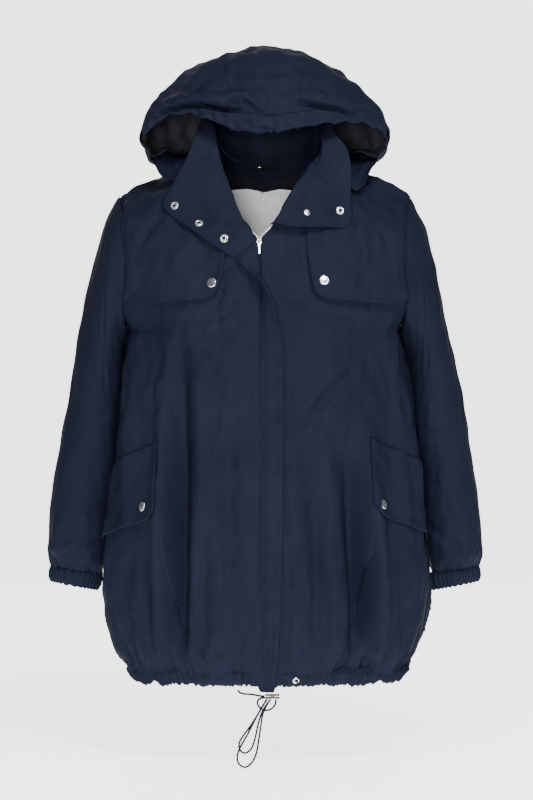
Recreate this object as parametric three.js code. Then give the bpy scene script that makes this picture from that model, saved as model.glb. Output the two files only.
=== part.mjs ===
import * as THREE from 'three';
import { mergeVertices } from 'three/addons/utils/BufferGeometryUtils.js';

// A women's hooded parka with a gathered hem, filled out with nobody in it.
// Millimetres. The origin is the base of the neck, between the shoulders.
// +Z is up, -Y is the front, and -X is the wearer's right.

// ---- Driving dimensions ------------------------------------------------------
const CLOTH = 2;               // wall of one panel of cloth
const GAP = 0.3;               // clearance between neighbouring pieces
const RIGHT = -1;              // the wearer's right
const LEFT = 1;
const FULLNESS = 0.58;         // handle of a section curve, as a share of its half width or depth
const CHANNEL_TOP_Z = -756;    // top of the drawcord channel at the hem
const UNDERARM_Z = -236;
const FLAP_LIFT = 1.7;         // a flap lies this far off the panel under it
const FLAP_GAPE = 4;           // and its free lower edge stands this much further off
const FLAP_WALL = 1.8;
const UNDER_CLOTH = 3.2;       // what lies inside a panel is this far under the panel's outer face
const LINING_WALL = 1.2;
const PLACKET_WALL = 2.8;      // the placket is folded double
const CORD_RADIUS = 1.5;       // hem drawcord
const LOOP_RADIUS = 1.5;       // hanger loop
const CAP_RADIUS = 7.5;        // snap cap
const SOCKET_RING = { outer: 6.5, inner: 2.6, height: 1.8 };
const EYELET_RING = { outer: 5, inner: 2.2, height: 1.2 };
const SNAP_LIFT = 0.7;         // a snap's underside stands this far off the cloth

// Sections of the body from the hem up to the underarm: half width, the centre front and centre
// back, the depth at which the side seam runs, and how far the whole section swings to the left.
const BODY = table('z half front back side sway', [
  [-776, 200, -134, 122, 2, 5],
  [CHANNEL_TOP_Z, 213, -143, 130, 2, 5],
  [-728, 233, -154, 140, 3, 5],
  [-688, 246, -162, 147, 4, 5],
  [-640, 252, -165, 151, 6, 5],
  [-560, 250, -163, 150, 8, 4],
  [-470, 243, -158, 146, 9, 4],
  [-380, 234, -152, 140, 10, 3],
  [-300, 226, -146, 133, 10, 1],
  [UNDERARM_Z, 216, -141, 127, 10, 0],
]);
const UNDERARM = BODY.length - 1;

// Sections of the fronts and back from above the underarm to the shoulder seam. Each runs from
// the centre or the neckline (in) to the armhole (out). reach is the handle of its curve at each
// end, fall the slope where it leaves the centre, turn the angle from straight ahead at the
// armhole, and climb the slope there.
const TOP_COLUMNS = 'in_x in_y in_z out_x out_y out_z reach_in fall reach_out turn climb';
const FRONT_TOP = table(TOP_COLUMNS, [
  [0, -138, -205, 215, -48, -214, 124, 0, 54, 20, 0],
  [0, -134, -175, 214, -78, -180, 118, 0, 50, 45, 0],
  [0, -130, -145, 214, -85, -142, 110, 0, 52, 54, 0],
  [0, -125, -110, 216, -77, -103, 105, 0, 56, 60, 0],
  [3, -118, -76, 219, -57, -70, 95, 0, 60, 65, 0.05],
  [42, -107, -58, 222, -33, -48, 65, 0, 58, 68, 0.2],
  [66, -78, -24, 224, -16, -35, 50, -0.1, 50, 78, 0.4],
  [80, -38, 9, 226, -6, -28.5, 48, -0.18, 40, 85, 0.6],
  [84, 0, 30, 226, 0, -26, 48, -0.2, 36, 90, 0.75],
]);
const BACK_TOP = table(TOP_COLUMNS, [
  [0, 128, -205, 215, 60, -212, 124, 0, 39, 20, 0],
  [0, 128, -175, 214, 84, -178, 118, 0, 40, 45, 0],
  [0, 126, -140, 214, 91, -140, 112, 0, 46, 55, 0],
  [0, 122, -105, 216, 83, -101, 105, 0, 52, 62, 0],
  [0, 114, -65, 219, 61, -68, 98, 0, 58, 66, 0.05],
  [0, 100, -30, 222, 38, -48, 92, 0, 58, 70, 0.15],
  [0, 78, 2, 224, 19, -35.5, 80, -0.05, 52, 78, 0.35],
  [45, 66, 12, 226, 7, -29, 55, -0.15, 44, 85, 0.55],
  [74, 35, 23, 226, 3, -27, 50, -0.18, 38, 88, 0.7],
  [84, 0, 30, 226, 0, -26, 48, -0.2, 36, 90, 0.75],
]);

// Where the princess seam crosses each section of the fronts, from the hem to the shoulder.
const PRINCESS = table('x', [
  [112], [120], [132], [144], [152], [158], [160], [160], [161], [161],
  [161], [161], [160], [158], [156], [155], [154], [153], [152],
]);

// The zip's line down the centre front, and how far each front stops short of it.
const ZIP = table('z x', [[-776, 5], [-600, 5], [-400, 4], [-250, 1], [-180, -4], [-104, -8], [-60, -8]]);
const ZIP_HALF = 5;
const TAPE_HALF = 14;
const CHAIN_HALF = 1.3;
const SLIDER_Z = -105;
const CHAIN_TOP_Z = SLIDER_Z - 7;
const CHAIN_HEIGHT = 1.8;
const TAPE_WALL = 1;
const SLIDER = { width: 8, depth: 5, height: 11, corner: 2, forward: 0.5, down: 0 };
const PULL = { width: 4.5, depth: 1.4, height: 17, corner: 1.2, forward: 5, down: 9 };

// Rings of a sleeve below its armhole: the outer and the inner end, the depth of its middle, half
// its depth from front to back, and how much nearer the body the right sleeve's inner end lies.
const SLEEVE = table('out_x out_z in_x in_z mid deep tuck', [
  [247, -62, 220, -248, 8, 84, 0],
  [263, -118, 225, -264, 14, 80, 1],
  [277, -175, 230, -292, 22, 75, 3],
  [290, -232, 234, -332, 31, 70, 5],
  [303, -295, 238, -380, 40, 65, 6],
  [315, -360, 243, -432, 48, 60, 7],
  [325, -425, 248, -484, 53, 56, 7],
  [335, -482, 252, -534, 56, 53, 7],
  [342, -545, 256, -578, 58, 51, 7],
  [343, -580, 258, -598, 58, 46, 6],
  [338, -600, 261, -613, 58, 32, 3],
]);
const ELBOW = 5;               // the ring at which each sleeve is parted into two nodes
const ELBOW_GAP = 0.012;       // and how far the upper one stops short of it, in rings
const CUFF = table('out_x out_z in_x in_z mid deep tuck', [
  [337, -604, 259, -617, 58, 25, 2],
  [340, -616, 260, -630, 58, 26, 1],
  [338, -629, 265, -643, 58, 23, 0],
]);

// The collar, from the front edge of its right leaf round the back of the neck to the front edge
// of its left leaf. Each row runs from the neck seam over the roll, where the leaf folds out, to
// the free edge. fold is 1 where the leaf lies folded out and 0 where the collar stands.
const COLLAR = table('seam_x seam_y seam_z roll_x roll_y roll_z edge_x edge_y edge_z fold', [
  [-15, -129, -100, -12, -138, -102, -43, -138, -131, 1],
  [-17, -127, -92, -18, -136, -92, -78, -133, -108, 1],
  [-22, -124, -81, -25, -133, -82, -117, -114, -80, 1],
  [-34, -119, -67, -32, -129, -70, -156, -83, -48, 1],
  [-50, -107, -46, -43, -116, -44, -145, -82, -20, 1],
  [-66, -83, -16, -55, -99, -10, -133, -82, 4, 1],
  [-78, -42, 16, -66, -76, 22, -120, -78, 26, 0.9],
  [-83.5, 0, 31.2, -75, -46, 72, -103, -60, 74, 0.5],
  [-73.8, 35, 24.4, -80, 10, 82, -88, 0, 122, 0.1],
  [-45, 66.5, 13.4, -52, 68, 70, -56, 66, 128, 0],
  [0, 79, 3.4, 0, 90, 64, 0, 92, 126, 0],
  [45, 66.5, 13.4, 52, 68, 70, 56, 66, 126, 0],
  [73.8, 35, 24.4, 82, 10, 78, 92, 0, 116, 0.1],
  [83.5, 0, 31.2, 86, -46, 56, 107, -62, 70, 0.5],
  [78, -42, 16, 76, -68, 24, 127, -76, 40, 0.9],
  [66, -83, -16, 60, -92, 2, 133, -86, 3, 1],
  [51, -106, -45, 47, -108, -15, 132, -96, -35, 1],
  [35, -118, -63, 35, -121, -38, 130, -112, -77, 1],
  [20, -123, -71, 24, -129, -56, 92, -124, -81, 1],
  [8, -126, -77, 13, -135, -76, 48, -133, -82, 1],
]);

// The hood, from its lower lip and neck seam (row 0) over the back and crown to the edge of its
// brim. Each row runs from the corner of the mouth (e) through a, b, n and c to the middle (m).
const HOOD_STOPS = ['e', 'a', 'b', 'n', 'c', 'm'];
const HOOD_COLUMNS = HOOD_STOPS.map((stop) => `${stop}_x ${stop}_y ${stop}_z`).join(' ');
const HOOD_SHELL = table(HOOD_COLUMNS, [
  [191, -42, 55, 180, -16, 30, 156, 14, 38, 124, 50, 40, 72, 92, 36, 0, 116, 34],
  [193, -37, 58, 188, -2, 46, 168, 38, 48, 132, 84, 52, 72, 120, 56, 0, 136, 63],
  [194, -34, 63, 191, 4, 70, 172, 52, 80, 132, 98, 90, 72, 132, 98, 0, 144, 104],
  [193, -36, 68, 187, 0, 95, 163, 44, 116, 122, 86, 134, 66, 116, 148, 0, 126, 152],
  [191, -41, 72, 181, -12, 106, 153, 20, 138, 113, 52, 164, 62, 76, 184, 0, 84, 190],
  [189, -47, 74, 176, -32, 110, 146, -14, 147, 108, 4, 175, 60, 15, 199, 0, 20, 210],
  [187, -52, 73, 169, -51, 107, 138, -49, 138, 102, -46, 163, 55, -43, 184, 0, -46, 192],
]);
const HOOD_LIP = {
  [RIGHT]: [187, -50, 54, 172, -57, 22, 146, -64, -4, 104, -24, 36, 78, 50, 42, 0, 93, 18],
  [LEFT]: [187, -50, 54, 178, -58, 30, 138, -74, -20, 104, -24, 36, 78, 50, 42, 0, 93, 18],
};
const HOOD_BRIM = {
  [RIGHT]: [
    [187, -56, 71, 163, -68, 102, 128, -80, 121, 90, -87, 131, 46, -91, 140, 0, -94, 146],
    [187, -59, 68, 160, -75, 105, 124, -89, 110, 86, -98, 106, 44, -104, 95, 0, -106, 91],
    [186, -58, 61, 158, -75, 86, 124, -90, 94, 86, -99, 84, 44, -105, 67, 0, -107, 63],
  ],
  [LEFT]: [
    [187, -56, 71, 163, -68, 100, 128, -80, 119, 90, -87, 130, 46, -91, 140, 0, -94, 146],
    [187, -59, 68, 160, -75, 98, 126, -89, 102, 88, -98, 99, 46, -104, 94, 0, -106, 91],
    [186, -58, 61, 160, -75, 78, 126, -90, 80, 88, -99, 77, 46, -105, 69, 0, -107, 63],
  ],
};
const HOOD_SEAM = 0.76;        // where the centre strip of the hood meets its side panels
const CASING_ROW = HOOD_SHELL.length + 2;

// Front edges of the storm flaps: how far they are from the centre on each section they cross.
const STORM_BOTTOM = 10.52;    // section of the fronts on which the lower edge runs
const STORM = {
  [RIGHT]: table('v x', [[10.52, 86], [10.7, 74], [11, 68], [12, 62], [13, 58], [14, 62], [15, 70],
    [16, 84], [17, 94], [18, 98]]),
  [LEFT]: table('v x', [[10.52, 92], [10.7, 80], [11, 72], [12, 67], [13, 63], [14, 64], [15, 70],
    [16, 84], [17, 94], [18, 98]]),
};

// Where the flaps stop short of the armhole and of the side seam, as shares of the front's width.
const STORM_SIDE = 0.975;
const POCKET_SIDE = 0.985;

// Pocket flaps: the front edge's distance from the centre with the heights of the upper and the
// lower edge there, at the rounded corner and at the side seam.
const POCKET = {
  [RIGHT]: { x: 161, top: -404, front: -510, corner: -524, side_top: -452, side_low: -562 },
  [LEFT]: { x: 154, top: -399, front: -496, corner: -518, side_top: -452, side_low: -563 },
};

// The placket's rows from its lower end to the break of the lapel: its stitched edge and its free
// edge, which turns forward and then out to the right at the top.
const PLACKET_FLAT = table('z stitched free', [
  [-776, -10, 16], [-752, -9, 18], [-725, -8, 21], [-641, -7.5, 25], [-560, -7.5, 27],
  [-480, -7.5, 28], [-388, -7.5, 29], [-320, -7.5, 29], [-262, -7.5, 28],
]);
const PLACKET_END = { drop: 7, stitched: -6, free: 14 };
const PLACKET_TURN = table('in_x in_y in_z out_x out_y out_z', [
  [-8, -143.5, -232, 25, -150, -240],
  [-8, -141.5, -205, 20, -157, -212],
  [-8, -139.5, -182, 12, -161, -186],
  [-9, -137, -158, -3, -161, -160],
  [-10, -135.5, -134, -24, -149, -145],
  [-12, -136, -110, -38, -141, -134],
]);

// Snaps. Those of the collar sit at a row of its table and a share of the way from seam to edge.
const SOCKETS = table('name row t lift', [
  ['snap_socket_lapel_top', 3.15, 0.92, 2.4],
  ['snap_socket_lapel_middle', 2.2, 0.86, SNAP_LIFT],
  ['snap_socket_lapel_bottom', 1.15, 0.82, SNAP_LIFT],
  ['snap_socket_leaf_left', 16.55, 0.9, SNAP_LIFT],
]);
const STUD = { name: 'snap_stud_leaf_left', row: 17.3, t: 0.7, lift: SNAP_LIFT };
const CAPS = table('name side x z', [
  ['snap_cap_storm_right', RIGHT, 79, -169],
  ['snap_cap_storm_left', LEFT, 89, -161],
  ['snap_cap_pocket_right', RIGHT, 183, -505],
  ['snap_cap_pocket_left', LEFT, 169, -502],
]);
const EYELETS = table('name side x z lift', [
  ['hem_eyelet_left', LEFT, 49, -764, 0.3],
]);

// The hem drawcord: its lead from the hem to the cord stop, and the loops that hang from the stop.
const CORD_LEAD = [
  [-40, -141, -779.5], [-37.5, -141.5, -783], [-31, -142, -785], [-18, -142, -786],
  [-8, -141.5, -788], [0.5, -141, -789],
];
const LONG_LOOP = [
  [3.5, -138.8, -793.6], [0, -138.8, -799], [-5, -138.8, -807], [-11, -138.8, -818], [-18, -138.8, -832],
  [-27, -138.8, -849], [-36, -138.8, -865], [-41, -138.8, -879], [-39, -138.8, -890], [-30, -138.8, -896],
  [-20, -138.8, -890], [-13, -138.8, -877], [-9, -138.8, -857], [-6, -138.8, -837], [-3, -138.8, -818],
  [3, -138.8, -803], [9, -138.8, -793.6],
];
const SHORT_LOOP = [
  [3.5, -142.6, -793.6], [0, -142.8, -799], [-5, -143, -807], [-12, -143, -819], [-21, -143, -833],
  [-32, -143, -848], [-38, -143, -859], [-37, -143, -869], [-30, -143, -874], [-21, -143, -869],
  [-15, -143, -855], [-11, -143, -837], [-6, -143, -818], [1, -142.8, -804], [9, -142.6, -793.6],
];
const RING_LOOP = [
  [17, -141, -793.6], [17, -142.5, -798], [14, -145, -804], [8, -147, -808], [0, -147.5, -809],
  [-7, -147, -805], [-10.5, -146, -799], [-9, -144.5, -793.5], [-4, -144, -791], [0.5, -143.2, -791.4],
];
const STOP = { x: 12, y: -141, z: -789, width: 22, depth: 7, height: 7, corner: 2.5 };
const HANGER = [
  [-40, 63, 13], [-36, 60, 18], [-26, 59, 21], [-8, 60, 22], [10, 59.5, 22], [20, 60.5, 19], [25, 62.5, 14],
];
const HANGER_RING = { x: -8, y: 56, z: 24, outer: 5, inner: 3.4, height: 1.6 };
const HOOD_CORD = [
  [-68, -15, 50.5], [-64, -16.3, 44.5], [-58, -17.6, 38], [-50, -18.8, 31.5], [-43, -19.6, 27],
];

// ---- Tables and curves -------------------------------------------------------
function table(names, rows) {
  const keys = names.split(' ');
  return rows.map((row) => Object.fromEntries(keys.map((key, i) => [key, row[i]])));
}

// A column's value at a place between its rows, on a smooth curve through rows first to last.
function column(rows, name, place, first = 0, last = rows.length - 1) {
  const i = Math.max(first, Math.min(Math.floor(place), last - 1));
  const t = place - i;
  const at = (k) => rows[Math.max(first, Math.min(last, k))][name];
  const [a, b, c, d] = [at(i - 1), at(i), at(i + 1), at(i + 2)];
  return b + 0.5 * t * (c - a + t * (2 * a - 5 * b + 4 * c - d + t * (3 * (b - c) + d - a)));
}

// A column's value where another column, which rises or falls all the way, has a given value.
function lookUp(rows, key, value, name) {
  return column(rows, name, solve((place) => column(rows, key, place), value, 0, rows.length - 1));
}

function vectorAt(rows, prefix, place) {
  return new THREE.Vector3(...['x', 'y', 'z'].map((axis) => column(rows, `${prefix}_${axis}`, place)));
}

function bezier(a, b, c, d, t) {
  const s = 1 - t;
  return new THREE.Vector3()
    .addScaledVector(a, s * s * s)
    .addScaledVector(b, 3 * s * s * t)
    .addScaledVector(c, 3 * s * t * t)
    .addScaledVector(d, t * t * t);
}

// The place, between two limits, where a rising or falling function takes a value.
function solve(f, value, low, high) {
  const rising = f(high) > f(low);
  for (let i = 0; i < 40; i++) {
    const mid = (low + high) / 2;
    if (f(mid) < value === rising) low = mid;
    else high = mid;
  }
  return (low + high) / 2;
}

const mix = (a, b, t) => a + (b - a) * t;
const spread = (count, from, to) => Array.from({ length: count + 1 }, (_, i) => mix(from, to, i / count));

// The outward normal of a surface at (s, t), from its slopes there. The surface is a function of
// two places, which stay within the limits.
function normalOf(surface, s, t, [s0, s1], [t0, t1], sign) {
  const step = 1e-3;
  const along = surface(Math.min(s + step, s1), t).sub(surface(Math.max(s - step, s0), t));
  const across = surface(s, Math.min(t + step, t1)).sub(surface(s, Math.max(t - step, t0)));
  return along.cross(across).multiplyScalar(sign).normalize();
}

// ---- Walls of cloth ----------------------------------------------------------
// A closed wall on one or more patches. A patch is a grid of points with their outward normals,
// and patches join where their points coincide. over and under are the distances from the points
// to the two faces. A point may have its own way down to the under face, instead of its normal.
function wall(patches, over = 0, under = CLOTH) {
  const ids = new Map();
  const nodes = [];
  const idOf = (node) => {
    const key = node.point.toArray().map((v) => Math.round(v * 1000)).join();
    if (!ids.has(key)) {
      ids.set(key, nodes.length);
      nodes.push({ point: node.point, normal: new THREE.Vector3(), down: node.down });
    }
    const id = ids.get(key);
    nodes[id].normal.add(node.normal);
    return id;
  };
  const quads = [];
  for (const grid of patches) {
    const id = grid.map((line) => line.map(idOf));
    for (let r = 0; r + 1 < grid.length; r++) {
      for (let c = 0; c + 1 < grid[r].length; c++) {
        const ring = [id[r][c], id[r][c + 1], id[r + 1][c + 1], id[r + 1][c]];
        quads.push(ring.filter((v, i) => v !== ring[(i + 1) % 4]));
      }
    }
  }
  nodes.forEach((node) => node.normal.normalize());
  const faces = [];
  const edges = new Map();
  for (const ring of quads.filter((q) => q.length > 2)) {
    const [a, b, c] = ring.map((i) => nodes[i].point);
    const d = nodes[ring[ring.length - 1]].point;
    const facing = c.clone().sub(a).cross(d.clone().sub(b));
    if (facing.dot(nodes[ring[0]].normal) < 0) ring.reverse();
    faces.push(ring);
    ring.forEach((from, i) => {
      const to = ring[(i + 1) % ring.length];
      edges.set(`${from},${to}`, [from, to]);
    });
  }
  const count = nodes.length;
  const index = [];
  const fan = (ring) => {
    for (let i = 1; i + 1 < ring.length; i++) index.push(ring[0], ring[i], ring[i + 1]);
  };
  for (const ring of faces) {
    fan(ring);
    fan([ring[0], ...ring.slice(1).reverse()].map((i) => i + count));
  }
  for (const [from, to] of edges.values()) {
    if (!edges.has(`${to},${from}`)) fan([to, from, from + count, to + count]);
  }
  const outer = nodes.map(({ point, normal }) => point.clone().addScaledVector(normal, over));
  const inner = nodes.map(({ point, normal, down }) =>
    down ? point.clone().add(down) : point.clone().addScaledVector(normal, -under));
  const geometry = new THREE.BufferGeometry();
  const flat = [...outer, ...inner].flatMap((p) => p.toArray());
  geometry.setAttribute('position', new THREE.Float32BufferAttribute(flat, 3));
  geometry.setIndex(index);
  return geometry;
}

const patch = (surface, rows, columns) => rows.map((r) => columns.map((c) => surface(c, r)));

// ---- The body's surface ------------------------------------------------------
function sections(top, depth) {
  const low = BODY.map(({ z, half, side, sway, ...rest }) => ({
    in_x: 0, in_y: rest[depth], in_z: z, out_x: half, out_y: side, out_z: z,
    reach_in: FULLNESS * half, fall: 0, reach_out: FULLNESS * Math.abs(side - rest[depth]),
    turn: 0, climb: 0, sway,
  }));
  return [...low, ...top.map((row) => ({ ...row, sway: 0 }))];
}
const FRONT = { rows: sections(FRONT_TOP, 'front'), face: 1 };
const BACK = { rows: sections(BACK_TOP, 'back'), face: -1 };
const topOf = (part) => part.rows.length - 1;

// A point of the front or back: side is the wearer's side, u runs from the centre to the side
// seam or armhole, and v counts the sections up from the hem.
function bodyPoint({ rows, face }, side, u, v) {
  const [first, last] = v < UNDERARM ? [0, UNDERARM] : [UNDERARM, rows.length - 1];
  const at = (name) => column(rows, name, v);
  const edge = (name) => column(rows, name, v, first, last);
  const turn = THREE.MathUtils.degToRad(at('turn'));
  const inner = new THREE.Vector3(at('in_x'), at('in_y'), at('in_z'));
  const outer = new THREE.Vector3(edge('out_x'), edge('out_y'), edge('out_z'));
  const leave = new THREE.Vector3(1, 0, at('fall')).normalize();
  const arrive = new THREE.Vector3(-Math.sin(turn), -face * Math.cos(turn), at('climb')).normalize();
  const beyond = inner.clone().addScaledVector(leave, at('reach_in'));
  const before = outer.clone().addScaledVector(arrive, at('reach_out'));
  const point = bezier(inner, beyond, before, outer, u);
  return new THREE.Vector3(side * point.x + at('sway'), point.y, point.z);
}

// The body with its outward normal. At the side and shoulder seams the normal keeps to the plane
// of the seam, so that the front and back walls meet there without crossing.
function body(part, side) {
  const surface = (u, v) => bodyPoint(part, side, u, v);
  return (u, v) => {
    const normal = normalOf(surface, u, v, [-1, 1], [0, topOf(part)], side * part.face);
    const point = surface(u, v);
    const atSide = u === 1 && v <= UNDERARM;
    if (v === topOf(part) || atSide) {
      normal.setY(0).normalize();
      point.y -= (part.face * GAP) / 2;
    }
    return { point, normal };
  };
}

// Where a section is as far from the body's own centre as x, on the left side.
function across(part, v, x) {
  const sway = column(part.rows, 'sway', v);
  return solve((u) => bodyPoint(part, LEFT, u, v).x - sway, x, -0.1, 1);
}

// The section of a part that crosses a height at u.
function sectionAt(part, u, z, low = 0, high = topOf(part)) {
  return solve((v) => bodyPoint(part, LEFT, u, v).z, z, low, high);
}

const halfGap = (part, v) => GAP / 2 / bodyPoint(part, LEFT, 1, v).distanceTo(bodyPoint(part, LEFT, 0, v));
const ARM_STEPS = [0, 0.5, 1, 1.5, 2];
const armRows = (part) => [
  ...ARM_STEPS.map((step) => UNDERARM + step),
  ...spread(topOf(part) - UNDERARM - 3, UNDERARM + 3, topOf(part)),
];
const bodyRows = (part) => [...spread(8, 1, UNDERARM).slice(0, -1), ...armRows(part)];

// Where a front stops beside the zip, and above the zip along the neckline.
function zipEdge(side, v) {
  const neckRow = UNDERARM + 5;
  const z = bodyPoint(FRONT, LEFT, 0, Math.min(v, neckRow)).z;
  const zip = lookUp(ZIP, 'z', z, 'x') - column(FRONT.rows, 'sway', v);
  const neckline = column(FRONT.rows, 'in_x', v);
  const beside = Math.max(side * zip + ZIP_HALF, neckline - ZIP_HALF);
  return across(FRONT, v, v > neckRow ? Math.min(beside, neckline) : beside);
}

const princess = (v) => across(FRONT, v, column(PRINCESS, 'x', v));

// A panel between two lines that cross its rows.
function panel(part, side, low, high, count) {
  const surface = body(part, side);
  return bodyRows(part).map((v) => {
    const half = halfGap(part, v);
    const to = high(v);
    return spread(count, low(v) + half, to === 1 ? 1 : to - half).map((u) => surface(u, v));
  });
}

// The drawcord channel continues the body below its panels.
function channel(part, side, from) {
  const top = 1 - (4 * GAP) / (BODY[1].z - BODY[0].z);
  return patch(body(part, side), spread(2, 0, top), spread(9, from, 1));
}

// ---- Sleeves -----------------------------------------------------------------
// The armhole from the shoulder point down the front, under the arm and up the back. share is how
// far round a row of the armhole lies, from 0 to 1.
function armLengths(part) {
  const places = spread(120, topOf(part), UNDERARM);
  const points = places.map((v) => bodyPoint(part, LEFT, 1, v));
  const lengths = [0];
  for (let i = 1; i < points.length; i++) lengths.push(lengths[i - 1] + points[i].distanceTo(points[i - 1]));
  return places.map((v, i) => ({ v, share: lengths[i] / lengths[lengths.length - 1] / 2 }));
}
const ARM_FRONT = armLengths(FRONT);
const ARM_BACK = armLengths(BACK);

function alongTable(rows, key, value, name) {
  const rising = rows[rows.length - 1][key] > rows[0][key];
  let i = rows.findIndex((row) => (rising ? row[key] >= value : row[key] <= value));
  i = Math.max(1, i < 0 ? rows.length - 1 : i);
  const [a, b] = [rows[i - 1], rows[i]];
  return mix(a[name], b[name], (value - a[key]) / (b[key] - a[key]));
}

function armhole(side, share) {
  const onFront = share <= 0.5;
  const part = onFront ? FRONT : BACK;
  const v = alongTable(onFront ? ARM_FRONT : ARM_BACK, 'share', onFront ? share : 1 - share, 'v');
  return { part, v, point: bodyPoint(part, side, 1, v) };
}

// A ring of a sleeve or cuff: an ellipse between its outer and its inner end.
function ellipse({ out_x, out_z, in_x, in_z, mid, deep, tuck }, side, share) {
  const inner = side === RIGHT ? in_x - tuck : in_x;
  const angle = 2 * Math.PI * share;
  const reach = Math.cos(angle) / 2;
  const x = (out_x + inner) / 2 + (out_x - inner) * reach;
  const z = (out_z + in_z) / 2 + (out_z - in_z) * reach;
  return new THREE.Vector3(side * x, mid - deep * Math.sin(angle), z);
}

function sleevePoint(side, share, place) {
  const around = ((share % 1) + 1) % 1;
  const ring = (k) => (k <= 0 ? armhole(side, around).point
    : ellipse(SLEEVE[Math.min(k, SLEEVE.length) - 1], side, around));
  const i = Math.min(Math.floor(place), SLEEVE.length - 1);
  const rows = [-1, 0, 1, 2].map((k) => ring(i + k)).map(({ x, y, z }) => ({ x, y, z }));
  return new THREE.Vector3(...['x', 'y', 'z'].map((axis) => column(rows, axis, 1 + place - i)));
}

// The sleeve's first ring follows the edge of the armhole, a gap away from it. Where the sleeve
// stands out from the body its wall starts along the middle of the crease, and elsewhere it
// starts square to the body.
function sleeveRing(side, share) {
  const { part, v, point } = armhole(side, share);
  const ahead = armhole(side, Math.min(share + 1e-3, 1)).point;
  const along = ahead.sub(armhole(side, Math.max(share - 1e-3, 0)).point).normalize();
  const bodySkin = (a, b) => bodyPoint(part, side, a, b);
  const skin = normalOf(bodySkin, 1, v, [0, 1], [UNDERARM, topOf(part)], side * part.face);
  const own = normalOf((a, b) => sleevePoint(side, a, b), share, 0.15, [-1, 2], [0, 1], side);
  const away = along.cross(skin).multiplyScalar(-side).normalize();
  const leaving = sleevePoint(side, share, 0.1).sub(point).normalize();
  const crease = THREE.MathUtils.smoothstep(leaving.dot(skin), -0.05, 0.15);
  const mitre = skin.clone().addScaledVector(own, crease).normalize();
  const stretch = Math.min(1 / Math.max(mitre.dot(skin), 0.5), 2);
  const down = mitre.clone().multiplyScalar(-CLOTH * stretch);
  return { point: point.addScaledVector(away, GAP), normal: own, down };
}

function armShares() {
  const front = armRows(FRONT).map((v) => alongTable(ARM_FRONT, 'v', v, 'share')).reverse();
  const back = armRows(BACK).map((v) => 1 - alongTable(ARM_BACK, 'v', v, 'share'));
  return [...front, ...back.slice(1)];
}

function sleeve(side) {
  const shares = armShares();
  const surface = (share, place) => ({
    point: sleevePoint(side, share, place),
    normal: normalOf((a, b) => sleevePoint(side, a, b), share, place, [-1, 2], [0, SLEEVE.length], side),
  });
  const above = [0.5, ...spread(ELBOW - 1, 1, ELBOW - ELBOW_GAP)];
  const below = spread(SLEEVE.length - ELBOW, ELBOW, SLEEVE.length);
  const armRing = shares.map((share) => sleeveRing(side, share));
  return { upper: [armRing, ...patch(surface, above, shares)], lower: patch(surface, below, shares) };
}

function cuff(side) {
  const point = (share, place) => {
    const row = Object.fromEntries(Object.keys(CUFF[0]).map((key) => [key, column(CUFF, key, place)]));
    return ellipse(row, side, share);
  };
  const surface = (share, place) => ({
    point: point(share, place),
    normal: normalOf(point, share, place, [-1, 2], [0, CUFF.length - 1], side),
  });
  return patch(surface, spread(2, 0, CUFF.length - 1), spread(16, 0, 1));
}

// ---- Collar ------------------------------------------------------------------
// place counts the rows of the collar, and t runs from the seam (0) over the roll to the edge (1).
const ROLL = 0.4;
function collarPoint(place, t) {
  const [seam, roll, edge] = ['seam', 'roll', 'edge'].map((name) => vectorAt(COLLAR, name, place));
  const fold = THREE.MathUtils.clamp(column(COLLAR, 'fold', place), 0, 1);
  const over = new THREE.Vector3(0, -fold, 1 - fold).normalize().multiplyScalar(mix(26, 9, fold));
  if (t < ROLL) {
    const start = seam.clone().lerp(roll, 1 / 3);
    return bezier(seam, start, roll.clone().sub(over), roll, t / ROLL);
  }
  const end = edge.clone().lerp(roll, 1 / 3);
  return bezier(roll, roll.clone().add(over), end, edge, (t - ROLL) / (1 - ROLL));
}

const COLLAR_ENDS = [0, COLLAR.length - 1];
const collarSurface = (place, t) => ({
  point: collarPoint(place, t),
  normal: normalOf(collarPoint, place, t, COLLAR_ENDS, [0, 1], 1),
});

function collar() {
  const stops = [0, 0.18, 0.32, ROLL, 0.48, 0.56, 0.78, 1];
  return patch(collarSurface, stops, spread(COLLAR_ENDS[1], ...COLLAR_ENDS));
}

// ---- Hood --------------------------------------------------------------------
const hoodRows = Object.fromEntries([RIGHT, LEFT].map((side) => [side, [
  ...table(HOOD_COLUMNS, [HOOD_LIP[side]]), ...HOOD_SHELL, ...table(HOOD_COLUMNS, HOOD_BRIM[side]),
]]));
const BRIM_ROW = hoodRows[RIGHT].length - 1;

function hoodPoint(side, s, row) {
  const last = HOOD_STOPS.length - 1;
  const stops = HOOD_STOPS.map((name) => {
    const { x, y, z } = vectorAt(hoodRows[side], name, row);
    return { x, y, z };
  });
  const line = [...stops, { ...stops[last - 1], x: -stops[last - 1].x }];
  const [x, y, z] = ['x', 'y', 'z'].map((axis) => column(line, axis, last * s));
  return new THREE.Vector3(side * x, y, z);
}

function hood(side) {
  const surface = (s, row) => hoodPoint(side, s, row);
  return (s, row) => ({
    point: surface(s, row),
    normal: normalOf(surface, s, row, [0, 1.2], [0, BRIM_ROW], side),
  });
}

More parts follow.
